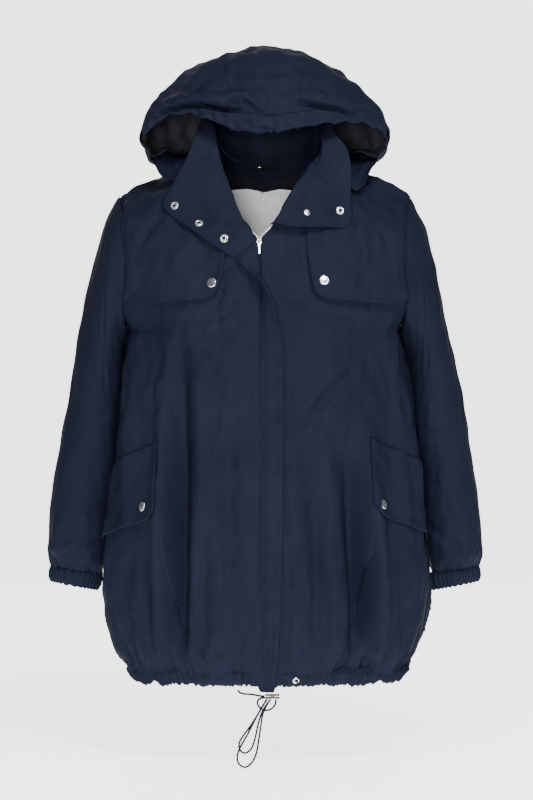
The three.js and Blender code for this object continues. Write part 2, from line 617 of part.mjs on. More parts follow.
const HOOD_ROWS = [0, 0.5, 1, 2, 3, 4, 5, 6, 7, 8, CASING_ROW - 0.05];
const SEAM_HALF = 0.001;
const SIDE_PLACES = spread(6, 0.02, HOOD_SEAM).slice(0, -1);
const CENTRE_PLACES = spread(2, HOOD_SEAM, 1).slice(1);
const BRIM_PLACES = [...SIDE_PLACES, HOOD_SEAM, ...CENTRE_PLACES];
const hoodSide = (side) => patch(hood(side), HOOD_ROWS, [...SIDE_PLACES, HOOD_SEAM - SEAM_HALF]);
const hoodCentre = (side) => patch(hood(side), HOOD_ROWS, [HOOD_SEAM + SEAM_HALF, ...CENTRE_PLACES]);
const hoodBrim = (side) => patch(hood(side), [CASING_ROW, BRIM_ROW], BRIM_PLACES);
const hoodLining = (side) =>
  patch(hood(side), HOOD_ROWS.slice(2, -1), BRIM_PLACES.slice(1));

// ---- What lies on the fronts -------------------------------------------------
// A storm flap's distance from the front under it, which grows towards its free lower edge.
const STORM_GAPE_ROWS = 1.2;
const stormLift = (v) => FLAP_LIFT + FLAP_GAPE * Math.max(0, 1 - (v - STORM_BOTTOM) / STORM_GAPE_ROWS);

function stormFlap(side) {
  const rows = [STORM_BOTTOM, 10.7, 11, 12, 13, 14, 15, 16, 17, 17.9];
  const surface = body(FRONT, side);
  return rows.map((v) => {
    const front = across(FRONT, v, alongTable(STORM[side], 'v', v, 'x'));
    return spread(7, front, STORM_SIDE).map((u) => {
      const { point, normal } = surface(u, v);
      return { point: point.addScaledVector(normal, stormLift(v)), normal };
    });
  });
}

function pocketFlap(side) {
  const { x, top, front, corner, side_top, side_low } = POCKET[side];
  const surface = body(FRONT, side);
  const lower = table('c z', [[0, front], [0.07, corner], [1, side_low]]);
  const columns = [0, 0.07, 0.25, 0.5, 0.75, 1];
  return spread(5, 0, 1).map((r) => columns.map((c) => {
    const z = mix(mix(top, side_top, c), alongTable(lower, 'c', c, 'z'), r);
    const v = sectionAt(FRONT, 0.8, z, 0, UNDERARM);
    const u = mix(across(FRONT, v, x), POCKET_SIDE, c);
    const { point, normal } = surface(u, v);
    return { point: point.addScaledVector(normal, FLAP_LIFT), normal };
  }));
}

// A point off the fronts' surface at a distance x from the origin's plane and a height z.
function onFronts(x, z, lift) {
  const low = sectionAt(FRONT, 0.3, z);
  const side = x < column(FRONT.rows, 'sway', low) ? RIGHT : LEFT;
  const offset = side * (x - column(FRONT.rows, 'sway', low));
  let v = low;
  for (let i = 0; i < 4; i++) v = sectionAt(FRONT, across(FRONT, v, offset), z);
  const { point, normal } = body(FRONT, side)(across(FRONT, v, offset), v);
  return { point: point.addScaledVector(normal, lift), normal };
}

function placket() {
  const flatTop = PLACKET_FLAT[PLACKET_FLAT.length - 1].z;
  const heights = [...spread(9, BODY[0].z, -600), ...spread(7, -560, flatTop)];
  const flat = heights.map((z) => {
    const [stitched, free] = ['stitched', 'free'].map((name) => alongTable(PLACKET_FLAT, 'z', z, name));
    return spread(3, stitched, free).map((x) => onFronts(x, z, FLAP_LIFT));
  });
  const end = spread(3, PLACKET_END.stitched, PLACKET_END.free).map((x, i) => {
    const { point, normal } = flat[0][i];
    return { point: new THREE.Vector3(x, point.y, point.z - PLACKET_END.drop), normal };
  });
  const turnPoint = (place, t) =>
    vectorAt(PLACKET_TURN, 'in', place).lerp(vectorAt(PLACKET_TURN, 'out', place), t);
  const last = PLACKET_TURN.length - 1;
  const turned = spread(8, 0, last).map((place) => spread(3, 0, 1).map((t) => ({
    point: turnPoint(place, t),
    normal: normalOf((t1, p1) => turnPoint(p1, t1), t, place, [0, 1], [0, last], 1),
  })));
  return [end, ...flat, ...turned];
}

// A strip along the zip, between two distances from its line, under the fronts' edges.
function zipStrip(from, to, top, depth) {
  return spread(14, BODY[0].z + 4, top).map((z) => {
    const zip = lookUp(ZIP, 'z', z, 'x');
    return [from, to].map((x) => onFronts(zip + x, z, depth));
  });
}

// ---- Inside the neck ---------------------------------------------------------
const TAPE_WIDTH = 15;
function neckTape() {
  const places = spread(12, -1, 1);
  const top = topOf(BACK);
  const edge = (n) => bodyPoint(BACK, n < 0 ? RIGHT : LEFT, 0, mix(top - 3, top - 1, Math.abs(n)));
  const inward = new THREE.Vector3(0, -0.87, -0.5);
  return spread(1, 0, 1).map((r) => places.map((n) => {
    const point = edge(n).addScaledVector(inward, CLOTH + 2);
    point.y += r * TAPE_WIDTH * 0.5;
    point.z -= 1 + r * TAPE_WIDTH * 0.87;
    return { point, normal: inward };
  }));
}

const LINING_ROWS = [9.5, 10, 10.5, 11, 12, 13, 14, 15, 15.45];
function backLining(side) {
  return patch(body(BACK, side), LINING_ROWS, spread(6, 0, 1).slice(0, -1));
}

// ---- Hard pieces and cords ---------------------------------------------------
function tidy(geometry) {
  geometry.deleteAttribute('normal');
  geometry.deleteAttribute('uv');
  return mergeVertices(geometry, 1e-4);
}

function tube(points, radius, steps, sides = 8) {
  const angles = spread(sides, 0, 2 * Math.PI).slice(0, -1);
  const ring = angles.map((a) => new THREE.Vector2(radius * Math.cos(a), radius * Math.sin(a)));
  const shape = new THREE.Shape(ring);
  const stops = points.map((p) => new THREE.Vector3(...p));
  const path = new THREE.CatmullRomCurve3(stops, false, 'centripetal');
  return tidy(new THREE.ExtrudeGeometry(shape, { steps, extrudePath: path, bevelEnabled: false }));
}

function turned(profile, segments) {
  const points = profile.map(([r, h]) => new THREE.Vector2(r, h));
  return tidy(new THREE.LatheGeometry(points, segments).rotateX(Math.PI / 2));
}

// Half sections of the turned pieces: radius, height.
const CAP_SECTION = [[0, 0], [CAP_RADIUS, 0], [CAP_RADIUS, 0.7], [CAP_RADIUS - 1.2, 1.8], [0, 2.3]];
const STUD_SECTION = [[0, 0], [4.6, 0], [4.6, 0.8], [2.4, 1.1], [2.4, 3], [0, 3]];
const SIDES = 14;
const ringShape = ({ outer, inner, height }) =>
  turned([[inner, 0], [outer, 0], [outer - 0.9, height], [inner, height], [inner, 0]], SIDES);

function bar({ width, depth, height, corner }) {
  const [w, h] = [width / 2, height / 2];
  const shape = new THREE.Shape();
  shape.moveTo(-w + corner, -h);
  shape.lineTo(w - corner, -h).quadraticCurveTo(w, -h, w, -h + corner);
  shape.lineTo(w, h - corner).quadraticCurveTo(w, h, w - corner, h);
  shape.lineTo(-w + corner, h).quadraticCurveTo(-w, h, -w, h - corner);
  shape.lineTo(-w, -h + corner).quadraticCurveTo(-w, -h, -w + corner, -h);
  const solid = new THREE.ExtrudeGeometry(shape, { depth, bevelEnabled: false, curveSegments: 4 });
  return tidy(solid.rotateX(Math.PI / 2).translate(0, depth / 2, 0));
}

// ---- The parka ---------------------------------------------------------------
const parka = new THREE.Group();
const finish = (color, roughness, metalness = 0) =>
  new THREE.MeshStandardMaterial({ color, roughness, metalness });
const NAVY = finish(0x1b2136, 0.7);
const CHARCOAL = finish(0x26262a, 0.8);
const JERSEY = finish(0xb9babd, 0.95);
const TAPE = finish(0x101114, 0.85);
const METAL = finish(0xc4c6c8, 0.3, 1);
const CORD = finish(0x171a26, 0.8);

function add(name, geometry, material) {
  const mesh = new THREE.Mesh(geometry, material);
  mesh.name = name;
  parka.add(mesh);
  return mesh;
}

// Turns a piece made along +Z to face the way given, and puts it in its place.
function place(mesh, point, facing) {
  mesh.position.copy(point);
  mesh.quaternion.setFromUnitVectors(new THREE.Vector3(0, 0, 1), facing.clone().normalize());
}

for (const [name, side] of [['right', RIGHT], ['left', LEFT]]) {
  add(`front_${name}_centre`, wall([panel(FRONT, side, (v) => zipEdge(side, v), princess, 6)]), NAVY);
  add(`front_${name}_side`, wall([panel(FRONT, side, princess, () => 1, 4)]), NAVY);
  add(`hem_channel_${name}`, wall([channel(FRONT, side, zipEdge(side, 0.5))]), NAVY);
  const { upper, lower } = sleeve(side);
  add(`sleeve_${name}_upper`, wall([upper]), NAVY);
  add(`sleeve_${name}_lower`, wall([lower]), NAVY);
  add(`cuff_${name}`, wall([cuff(side)]), NAVY);
  add(`storm_flap_${name}`, wall([stormFlap(side)], FLAP_WALL, 0), NAVY);
  add(`pocket_flap_${name}`, wall([pocketFlap(side)], FLAP_WALL, 0), NAVY);
  add(`hood_side_${name}`, wall([hoodSide(side)]), NAVY);
  const [from, to] = side === RIGHT ? [-TAPE_HALF, -CHAIN_HALF - GAP] : [CHAIN_HALF + GAP, TAPE_HALF];
  add(`zip_tape_${name}`, wall([zipStrip(from, to, CHAIN_TOP_Z, -UNDER_CLOTH)], 0, TAPE_WALL), TAPE);
}
const both = (make) => [RIGHT, LEFT].map(make);
add('back', wall(both((side) => patch(body(BACK, side), bodyRows(BACK), spread(6, 0, 1)))), NAVY);
add('hem_channel_back', wall(both((side) => channel(BACK, side, 0))), NAVY);
add('hood_centre', wall(both(hoodCentre)), NAVY);
add('hood_brim', wall(both(hoodBrim)), NAVY);
add('hood_lining', wall(both(hoodLining), -UNDER_CLOTH, UNDER_CLOTH + LINING_WALL), CHARCOAL);
add('collar', wall([collar()]), NAVY);
add('placket', wall([placket()], PLACKET_WALL, 0), NAVY);
const chain = zipStrip(-CHAIN_HALF, CHAIN_HALF, CHAIN_TOP_Z, -CLOTH);
add('zip_chain', wall([chain], 0, CHAIN_HEIGHT), METAL);
add('neck_tape', wall([neckTape()], TAPE_WALL, 0), TAPE);
add('back_lining', wall(both(backLining), -UNDER_CLOTH, UNDER_CLOTH + LINING_WALL), JERSEY);

for (const { name, row, t, lift } of [...SOCKETS, STUD]) {
  const { point, normal } = collarSurface(row, t);
  const shape = name === STUD.name ? turned(STUD_SECTION, SIDES) : ringShape(SOCKET_RING);
  place(add(name, shape, METAL), point.addScaledVector(normal, lift), normal);
}
for (const { name, side, x, z } of CAPS) {
  const under = z > UNDERARM_Z ? stormLift(sectionAt(FRONT, 0.4, z)) : FLAP_LIFT;
  const { point, normal } = onFronts(side * x, z, under + FLAP_WALL + SNAP_LIFT);
  place(add(name, turned(CAP_SECTION, SIDES), METAL), point, normal);
}
for (const { name, side, x, z, lift } of EYELETS) {
  const { point, normal } = onFronts(side * x, z, lift);
  place(add(name, ringShape(EYELET_RING), METAL), point, normal);
}

const zipTop = onFronts(lookUp(ZIP, 'z', SLIDER_Z, 'x'), SLIDER_Z, 0).point;
for (const [name, size] of [['zip_slider', SLIDER], ['zip_pull', PULL]]) {
  const { x, y, z } = zipTop;
  add(name, bar(size), METAL).position.set(x, y - size.forward, z - size.down);
}
add('hem_cord_lead', tube(CORD_LEAD, CORD_RADIUS, 8), CORD);
add('hem_cord_long', tube(LONG_LOOP, CORD_RADIUS, 36), CORD);
add('hem_cord_short', tube(SHORT_LOOP, CORD_RADIUS, 26), CORD);
add('hem_cord_ring', tube(RING_LOOP, CORD_RADIUS, 14), CORD);
add('cord_stop', bar(STOP), METAL).position.set(STOP.x, STOP.y, STOP.z);
add('hanger_loop', tube(HANGER, LOOP_RADIUS, 24), TAPE);
const { x, y, z } = HANGER_RING;
add('hanger_ring', ringShape(HANGER_RING), METAL).position.set(x, y, z);
add('hood_cord', tube(HOOD_CORD, LOOP_RADIUS, 8), CORD);

export default parka;
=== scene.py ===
import math

import bmesh
import bpy
import numpy as np
from mathutils import Matrix, Vector


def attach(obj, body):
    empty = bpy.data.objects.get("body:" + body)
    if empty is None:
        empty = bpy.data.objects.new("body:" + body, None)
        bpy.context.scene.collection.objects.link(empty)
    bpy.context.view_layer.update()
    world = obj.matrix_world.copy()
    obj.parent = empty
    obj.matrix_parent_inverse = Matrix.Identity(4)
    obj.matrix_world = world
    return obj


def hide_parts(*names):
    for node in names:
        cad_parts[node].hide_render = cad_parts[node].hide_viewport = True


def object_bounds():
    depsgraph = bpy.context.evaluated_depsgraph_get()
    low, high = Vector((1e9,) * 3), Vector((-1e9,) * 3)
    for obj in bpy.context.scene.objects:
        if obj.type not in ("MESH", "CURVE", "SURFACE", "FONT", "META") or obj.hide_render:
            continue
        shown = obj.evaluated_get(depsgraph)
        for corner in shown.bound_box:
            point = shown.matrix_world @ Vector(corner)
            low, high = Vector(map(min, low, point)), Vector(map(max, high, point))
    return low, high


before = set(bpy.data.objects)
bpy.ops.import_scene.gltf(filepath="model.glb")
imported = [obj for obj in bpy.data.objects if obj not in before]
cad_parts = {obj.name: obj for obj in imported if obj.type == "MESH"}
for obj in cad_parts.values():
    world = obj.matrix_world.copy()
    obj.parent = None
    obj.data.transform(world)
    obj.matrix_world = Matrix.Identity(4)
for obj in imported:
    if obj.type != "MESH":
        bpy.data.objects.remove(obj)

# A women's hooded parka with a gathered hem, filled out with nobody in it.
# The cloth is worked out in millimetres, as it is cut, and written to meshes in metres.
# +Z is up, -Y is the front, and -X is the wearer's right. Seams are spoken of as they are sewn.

CAD_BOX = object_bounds()
MM = 0.001
GARMENT = "garment"
PULL_TAB = "pull_tab"
RIGHT, LEFT = -1, 1
SIDES = {"right": RIGHT, "left": LEFT}

# ---- Camera ------------------------------------------------------------------
CAMERA_PLACE = Vector((0.003, -4.0, -0.343))
camera_data = bpy.data.cameras.new("camera")
camera_data.lens = 115.4
camera = bpy.data.objects.new("camera", camera_data)
camera.location = CAMERA_PLACE
camera.rotation_euler = (math.pi / 2, 0, 0)
bpy.context.collection.objects.link(camera)
bpy.context.scene.camera = camera


# ---- Materials ---------------------------------------------------------------
class Nodes:
    """Adds nodes to a tree, with their values and links given in one line."""

    def __init__(self, tree):
        self.tree = tree

    def add(self, kind, values=None, **settings):
        node = self.tree.nodes.new(kind)
        for name, value in settings.items():
            setattr(node, name, value)
        self.fill(node, values or {})
        return node

    def fill(self, node, values):
        """Gives a node's inputs their values, or links them to the sockets given."""
        for name, value in values.items():
            if isinstance(value, bpy.types.NodeSocket):
                self.tree.links.new(value, node.inputs[name])
            else:
                node.inputs[name].default_value = value

    def math(self, operation, first, second=0.0):
        return self.add("ShaderNodeMath", {0: first, 1: second}, operation=operation).outputs[0]

    def ramp(self, fac, *stops):
        node = self.add("ShaderNodeValToRGB", {"Fac": fac})
        elements = node.color_ramp.elements
        while len(elements) < len(stops):
            elements.new(0.5)
        for element, (place, color) in zip(elements, stops):
            element.position = place
            element.color = (*color, 1)
        return node.outputs["Color"]

    def noise(self, vector, scale, detail, **values):
        given = {"Vector": vector, "Scale": scale, "Detail": detail}
        return self.add("ShaderNodeTexNoise", {**given, **values}).outputs["Fac"]

    def bump(self, height, strength, distance, **values):
        given = {"Height": height, "Strength": strength, "Distance": distance}
        return self.add("ShaderNodeBump", {**given, **values}).outputs[0]

    def stretched(self, vector, *scale):
        return self.add("ShaderNodeMapping", {"Vector": vector, "Scale": scale}).outputs[0]

    def waves(self, socket, per_metre):
        return self.math("SINE", self.math("MULTIPLY", socket, per_metre))


def group(name, inputs, outputs):
    """A shader node group with named inputs and outputs, as (nodes, input sockets, output node)."""
    tree = bpy.data.node_groups.new(name, "ShaderNodeTree")
    for label, kind, value in inputs:
        socket = tree.interface.new_socket(name=label, in_out="INPUT", socket_type=kind)
        if value is not None:
            socket.default_value = value
    for label, kind in outputs:
        tree.interface.new_socket(name=label, in_out="OUTPUT", socket_type=kind)
    nodes = Nodes(tree)
    return nodes, nodes.add("NodeGroupInput").outputs, nodes.add("NodeGroupOutput")


def weave_group():
    """Plain weave, from the cloth's own map in metres: threads over and under, with uneven yarns."""
    nodes, given, out = group(
        "plain weave",
        [("Map", "NodeSocketVector", None), ("Threads per metre", "NodeSocketFloat", 2600.0),
         ("Slub", "NodeSocketFloat", 0.5)],
        [("Height", "NodeSocketFloat"), ("Streak", "NodeSocketFloat")],
    )
    parts = nodes.add("ShaderNodeSeparateXYZ", {0: given["Map"]}).outputs
    warp = nodes.waves(parts["X"], given["Threads per metre"])
    weft = nodes.waves(parts["Y"], given["Threads per metre"])
    over = nodes.math("MULTIPLY", warp, weft)
    streak = nodes.noise(nodes.stretched(given["Map"], 420.0, 9.0, 1.0), 1.0, 3.0)
    cross = nodes.noise(nodes.stretched(given["Map"], 12.0, 520.0, 1.0), 1.0, 2.0)
    both = nodes.math("ADD", streak, nodes.math("MULTIPLY", cross, 0.6))
    slub = nodes.math("MULTIPLY", both, given["Slub"])
    nodes.fill(out, {
        "Height": nodes.math("ADD", nodes.math("MULTIPLY", over, 0.5), slub),
        "Streak": nodes.math("MULTIPLY", both, 0.625),
    })
    return nodes.tree


def clouding_group():
    """Broad, soft unevenness over a whole piece, and fine handling creases."""
    nodes, given, out = group(
        "clouding",
        [("Place", "NodeSocketVector", None), ("Size", "NodeSocketFloat", 9.0)],
        [("Cloud", "NodeSocketFloat"), ("Crease", "NodeSocketFloat")],
    )
    cloud = nodes.noise(given["Place"], given["Size"], 4.0)
    bent = nodes.noise(given["Place"], 34.0, 5.0, Roughness=0.55, Distortion=0.6)
    away = nodes.math("ABSOLUTE", nodes.math("SUBTRACT", bent, 0.5))
    line = nodes.math("SUBTRACT", 1.0, nodes.math("MINIMUM", nodes.math("MULTIPLY", away, 9.0), 1.0))
    nodes.fill(out, {"Cloud": cloud, "Crease": line})
    return nodes.tree


WEAVE = weave_group()
CLOUDING = clouding_group()


def new_material(name, color):
    material = bpy.data.materials.new(name)
    material.use_nodes = True
    material.diffuse_color = (*color, 1)
    nodes = Nodes(material.node_tree)
    shader = material.node_tree.nodes["Principled BSDF"]
    return material, nodes, shader


def woven(name, dark, light, rough, sheen, threads=2600.0, bump=0.25, creasing=0.25, slub=0.5):
    """A plain-woven cloth between two shades of its colour."""
    material, nodes, shader = new_material(name, light)
    flat = nodes.add("ShaderNodeUVMap", uv_map="weave").outputs["UV"]
    place = nodes.add("ShaderNodeTexCoord").outputs["Object"]
    yarns = {"Map": flat, "Threads per metre": threads, "Slub": slub}
    weave = nodes.add("ShaderNodeGroup", yarns, node_tree=WEAVE).outputs
    cloud = nodes.add("ShaderNodeGroup", {"Place": place}, node_tree=CLOUDING).outputs
    shade = nodes.math("ADD", nodes.math("MULTIPLY", weave["Streak"], 0.55),
                       nodes.math("MULTIPLY", cloud["Cloud"], 0.55))
    fine = nodes.bump(weave["Height"], bump, 0.00025)
    nodes.fill(shader, {
        "Base Color": nodes.ramp(shade, (0.3, dark), (0.8, light)),
        "Roughness": nodes.math("ADD", rough - 0.06, nodes.math("MULTIPLY", weave["Streak"], 0.12)),
        "Normal": nodes.bump(cloud["Crease"], creasing, 0.0009, Normal=fine),
        "Sheen Weight": sheen, "Sheen Roughness": 0.4, "Sheen Tint": (*light, 1),
        "Specular IOR Level": 0.02,
    })
    return material


def heather_jersey():
    """Pale grey knit with darker fibres mixed in, in fine rows of loops."""
    material, nodes, shader = new_material("heather jersey", (0.5, 0.5, 0.52))
    flat = nodes.add("ShaderNodeUVMap", uv_map="weave").outputs["UV"]
    flecks = nodes.noise(nodes.stretched(flat, 300.0, 60.0, 1.0), 1.0, 6.0, Roughness=0.75)
    parts = nodes.add("ShaderNodeSeparateXYZ", {0: flat}).outputs
    course = nodes.math("ADD", 1.3, nodes.waves(parts["Y"], 7000.0))
    loop = nodes.math("MULTIPLY", nodes.waves(parts["X"], 5200.0), course)
    nodes.fill(shader, {
        "Base Color": nodes.ramp(flecks, (0.3, (0.74, 0.74, 0.76)), (0.62, (1.0, 1.0, 1.0))),
        "Normal": nodes.bump(loop, 0.4, 0.0003), "Roughness": 0.95, "Sheen Weight": 0.3,
    })
    return material


def plated_metal(name, color, rough, wear):
    """Plated metal with faint handling marks, duller where it has rubbed."""
    material, nodes, shader = new_material(name, color)
    marks = nodes.noise(nodes.add("ShaderNodeTexCoord").outputs["Object"], 900.0, 5.0)
    shade = tuple(0.8 * c for c in color)
    nodes.fill(shader, {
        "Roughness": nodes.math("ADD", rough, nodes.math("MULTIPLY", marks, wear)),
        "Base Color": nodes.ramp(marks, (0.35, shade), (0.6, color)),
        "Normal": nodes.bump(marks, 0.15, 0.0001), "Metallic": 1.0,
    })
    return material


def braided(name, dark, light):
    """Braid of two crossing sets of yarns round a cord, from its place in the room. Its colour carries
    painted shade: the sunken yarns are coloured darker and the raised ones lighter.
    """
    material, nodes, shader = new_material(name, light)
    place = nodes.add("ShaderNodeTexCoord").outputs["Object"]
    parts = nodes.add("ShaderNodeSeparateXYZ", {0: place}).outputs
    level = nodes.math("ADD", parts["Z"], nodes.math("MULTIPLY", parts["Y"], 0.7))
    one = nodes.waves(nodes.math("ADD", level, parts["X"]), 5200.0)
    other = nodes.waves(nodes.math("SUBTRACT", level, parts["X"]), 5200.0)
    braid = nodes.math("MULTIPLY", one, other)
    height = nodes.math("ADD", nodes.math("MULTIPLY", braid, 0.5), 0.5)
    # Painted shade and light: the colour follows the braid's height, darker where the yarns sink.
    nodes.fill(shader, {
        "Base Color": nodes.ramp(height, (0.2, dark), (0.9, light)),
        "Normal": nodes.bump(braid, 0.5, 0.0003), "Roughness": 0.7, "Specular IOR Level": 0.1,
    })
    return material


SHELL = woven("navy shell", (0.0062, 0.0076, 0.0160), (0.0108, 0.0131, 0.0262), 0.6, 0.0)
THREAD = woven("navy thread", (0.0065, 0.0095, 0.022), (0.013, 0.018, 0.038), 0.5, 0.05, creasing=0.0)
LINING = woven("charcoal lining", (0.024, 0.023, 0.028), (0.048, 0.046, 0.056), 0.5, 0.0)
TAPE = woven("black tape", (0.007, 0.007, 0.010), (0.017, 0.016, 0.022), 0.8, 0.1, threads=1500.0, bump=0.6)
JERSEY = heather_jersey()
SILVER = plated_metal("polished nickel", (0.72, 0.72, 0.73), 0.16, 0.2)
DARK_METAL = plated_metal("aged brass", (0.085, 0.062, 0.048), 0.32, 0.25)
NAVY_CORD = braided("navy braid", (0.004, 0.005, 0.009), (0.016, 0.018, 0.03))
BLACK_CORD = braided("black braid", (0.003, 0.003, 0.004), (0.014, 0.014, 0.016))


# ---- Pieces and meshes -------------------------------------------------------
def finished(name, mesh_or_curve, material, body=GARMENT, stands_for=()):
    """Makes the object of a finished piece, which rides on a body and may stand for CAD nodes."""
    piece = bpy.data.objects.new(name, mesh_or_curve)
    bpy.context.collection.objects.link(piece)
    mesh_or_curve.materials.append(material)
    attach(piece, body)
    if stands_for:
        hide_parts(*stands_for)
    return piece


# ---- Cords -------------------------------------------------------------------
CORD_WIDTH = 0.003
LOOP_WIDTH = 0.003
CORD_LEAD = [
    (-0.040, -0.141, -0.7795), (-0.0375, -0.1415, -0.783), (-0.031, -0.142, -0.785),
    (-0.018, -0.142, -0.786), (-0.008, -0.1415, -0.788), (0.0005, -0.141, -0.789),
]
LONG_LOOP = [(x, -0.1388, z) for x, z in (
    (0.0035, -0.7936), (0.0, -0.799), (-0.005, -0.807), (-0.011, -0.818), (-0.018, -0.832),
    (-0.027, -0.849), (-0.036, -0.865), (-0.041, -0.879), (-0.039, -0.890), (-0.030, -0.896),
    (-0.020, -0.890), (-0.013, -0.877), (-0.009, -0.857), (-0.006, -0.837), (-0.003, -0.818),
    (0.003, -0.803), (0.009, -0.7936),
)]
SHORT_LOOP = [
    (0.0035, -0.1426, -0.7936), (0.0, -0.1428, -0.799), (-0.005, -0.143, -0.807),
    (-0.012, -0.143, -0.819), (-0.021, -0.143, -0.833), (-0.032, -0.143, -0.848),
    (-0.038, -0.143, -0.859), (-0.037, -0.143, -0.869), (-0.030, -0.143, -0.874),
    (-0.021, -0.143, -0.869), (-0.015, -0.143, -0.855), (-0.011, -0.143, -0.837),
    (-0.006, -0.143, -0.818), (0.001, -0.1428, -0.804), (0.009, -0.1426, -0.7936),
]
RING_LOOP = [
    (0.017, -0.141, -0.7936), (0.017, -0.1425, -0.798), (0.014, -0.145, -0.804),
    (0.008, -0.147, -0.808), (0.0, -0.1475, -0.809), (-0.007, -0.147, -0.805),
    (-0.0105, -0.146, -0.799), (-0.009, -0.1445, -0.7935), (-0.004, -0.144, -0.791),
    (0.0005, -0.1432, -0.7914),
]
HANGER = [
    (-0.040, 0.063, 0.013), (-0.036, 0.060, 0.018), (-0.026, 0.059, 0.021), (-0.008, 0.060, 0.022),
    (0.010, 0.0595, 0.022), (0.020, 0.0605, 0.019), (0.025, 0.0625, 0.014),
]
HOOD_CORD = [
    (-0.068, -0.015, 0.0505), (-0.064, -0.0163, 0.0445), (-0.058, -0.0176, 0.038),
    (-0.050, -0.0188, 0.0315), (-0.043, -0.0196, 0.027),
]


def smooth_route(points, steps=6):
    """A centripetal curve through the points, as close-set points of its own."""
    first, last = Vector(points[0]), Vector(points[-1])
    line = [first * 2 - Vector(points[1]), *map(Vector, points), last * 2 - Vector(points[-2])]
    route = []
    for four in zip(line, line[1:], line[2:], line[3:]):
        knots = [0.0]
        for start, end in zip(four, four[1:]):
            knots.append(knots[-1] + (end - start).length ** 0.5)
        for step in range(steps):
            t = knots[1] + (knots[2] - knots[1]) * step / steps
            near = [four[i].lerp(four[i + 1], (t - knots[i]) / (knots[i + 1] - knots[i])) for i in range(3)]
            low = near[0].lerp(near[1], (t - knots[0]) / (knots[2] - knots[0]))
            high = near[1].lerp(near[2], (t - knots[1]) / (knots[3] - knots[1]))
            route.append(low.lerp(high, (t - knots[1]) / (knots[2] - knots[1])))
    return [*route, last]


def cord(name, points, width, material, node):
    """A limp cord along its route."""
    route = smooth_route(points)
    curve = bpy.data.curves.new(name, "CURVE")
    curve.dimensions = "3D"
    curve.bevel_depth = width / 2
    curve.bevel_resolution = 3
    curve.use_fill_caps = True
    spline = curve.splines.new("POLY")
    spline.points.add(len(route) - 1)
    for point, place in zip(spline.points, route):
        point.co = (*place, 1)
    piece = finished(name, curve, material, stands_for=[node])


cord("hem_drawcord_lead", CORD_LEAD, CORD_WIDTH, NAVY_CORD, "hem_cord_lead")
cord("hem_drawcord_long_loop", LONG_LOOP, CORD_WIDTH, NAVY_CORD, "hem_cord_long")
cord("hem_drawcord_short_loop", SHORT_LOOP, CORD_WIDTH, NAVY_CORD, "hem_cord_short")
cord("hem_drawcord_ring_loop", RING_LOOP, CORD_WIDTH, NAVY_CORD, "hem_cord_ring")
cord("hanger_loop_cord", HANGER, LOOP_WIDTH, BLACK_CORD, "hanger_loop")
cord("hood_cord_tab", HOOD_CORD, LOOP_WIDTH, NAVY_CORD, "hood_cord")


# ---- Tables and curves -------------------------------------------------------
def table(names, rows):
    """Named columns, each an array with a value for every row."""
    return dict(zip(names.split(), np.array(rows, float).T))


def column(values, place, first=0, last=None):
    """A column's value at a place between its rows, on a smooth curve through rows first to last."""
    last = len(values) - 1 if last is None else last
    i = np.clip(np.floor(place).astype(int), first, last - 1)
    t = place - i
    a, b, c, d = (values[np.clip(i + k, first, last)] for k in (-1, 0, 1, 2))
    return b + 0.5 * t * (c - a + t * (2 * a - 5 * b + 4 * c - d + t * (3 * (b - c) + d - a)))


def vectors_at(rows, prefix, place):
    return np.stack([column(rows[f"{prefix}_{axis}"], place) for axis in "xyz"], axis=-1)


def solve(function, value, low, high, shape=()):
    """The place, between two limits, where a rising or falling function takes a value."""
    low, high = np.full(shape, float(low)), np.full(shape, float(high))
    rising = function(high) > function(low)
    for _ in range(26):
        middle = (low + high) / 2
        below = (function(middle) < value) == rising
        low, high = np.where(below, middle, low), np.where(below, high, middle)
    return (low + high) / 2


def unit(vectors):
    return vectors / np.maximum(np.linalg.norm(vectors, axis=-1, keepdims=True), 1e-9)


def smooth_step(x, low, high):
    t = np.clip((x - low) / (high - low), 0, 1)
    return t * t * (3 - 2 * t)


def peak(x, middle, width):
    """A bell curve that is 1 at its middle."""
    return np.exp(-(((x - middle) / width) ** 2))


def fading(x, reach):
    return np.exp(-x / reach)


# ---- The cut: the body -------------------------------------------------------
FULLNESS = 0.58
HEM_Z = -776
CHANNEL_TOP_Z = -756
BODY = table("z half front back side sway", [
    (HEM_Z, 200, -134, 122, 2, 5),
    (CHANNEL_TOP_Z, 213, -143, 130, 2, 5),
    (-728, 233, -154, 140, 3, 5),
    (-688, 246, -162, 147, 4, 5),
    (-640, 252, -165, 151, 6, 5),
    (-560, 250, -163, 150, 8, 4),
    (-470, 243, -158, 146, 9, 4),
    (-380, 234, -152, 140, 10, 3),
    (-300, 226, -146, 133, 10, 1),
    (-236, 216, -141, 127, 10, 0),
])
UNDERARM = len(BODY["z"]) - 1
TOP_COLUMNS = "in_x in_y in_z out_x out_y out_z reach_in fall reach_out turn climb"
FRONT_TOP = table(TOP_COLUMNS, [
    (0, -138, -205, 215, -48, -214, 124, 0, 54, 20, 0),
    (0, -134, -175, 214, -78, -180, 118, 0, 50, 45, 0),
    (0, -130, -145, 214, -85, -142, 110, 0, 52, 54, 0),
    (0, -125, -110, 216, -77, -103, 105, 0, 56, 60, 0),
    (3, -118, -76, 219, -57, -70, 95, 0, 60, 65, 0.05),
    (42, -107, -58, 222, -33, -48, 65, 0, 58, 68, 0.2),
    (66, -78, -24, 224, -16, -35, 50, -0.1, 50, 78, 0.4),
    (80, -38, 9, 226, -6, -28.5, 48, -0.18, 40, 85, 0.6),
    (84, 0, 30, 226, 0, -26, 48, -0.2, 36, 90, 0.75),
])
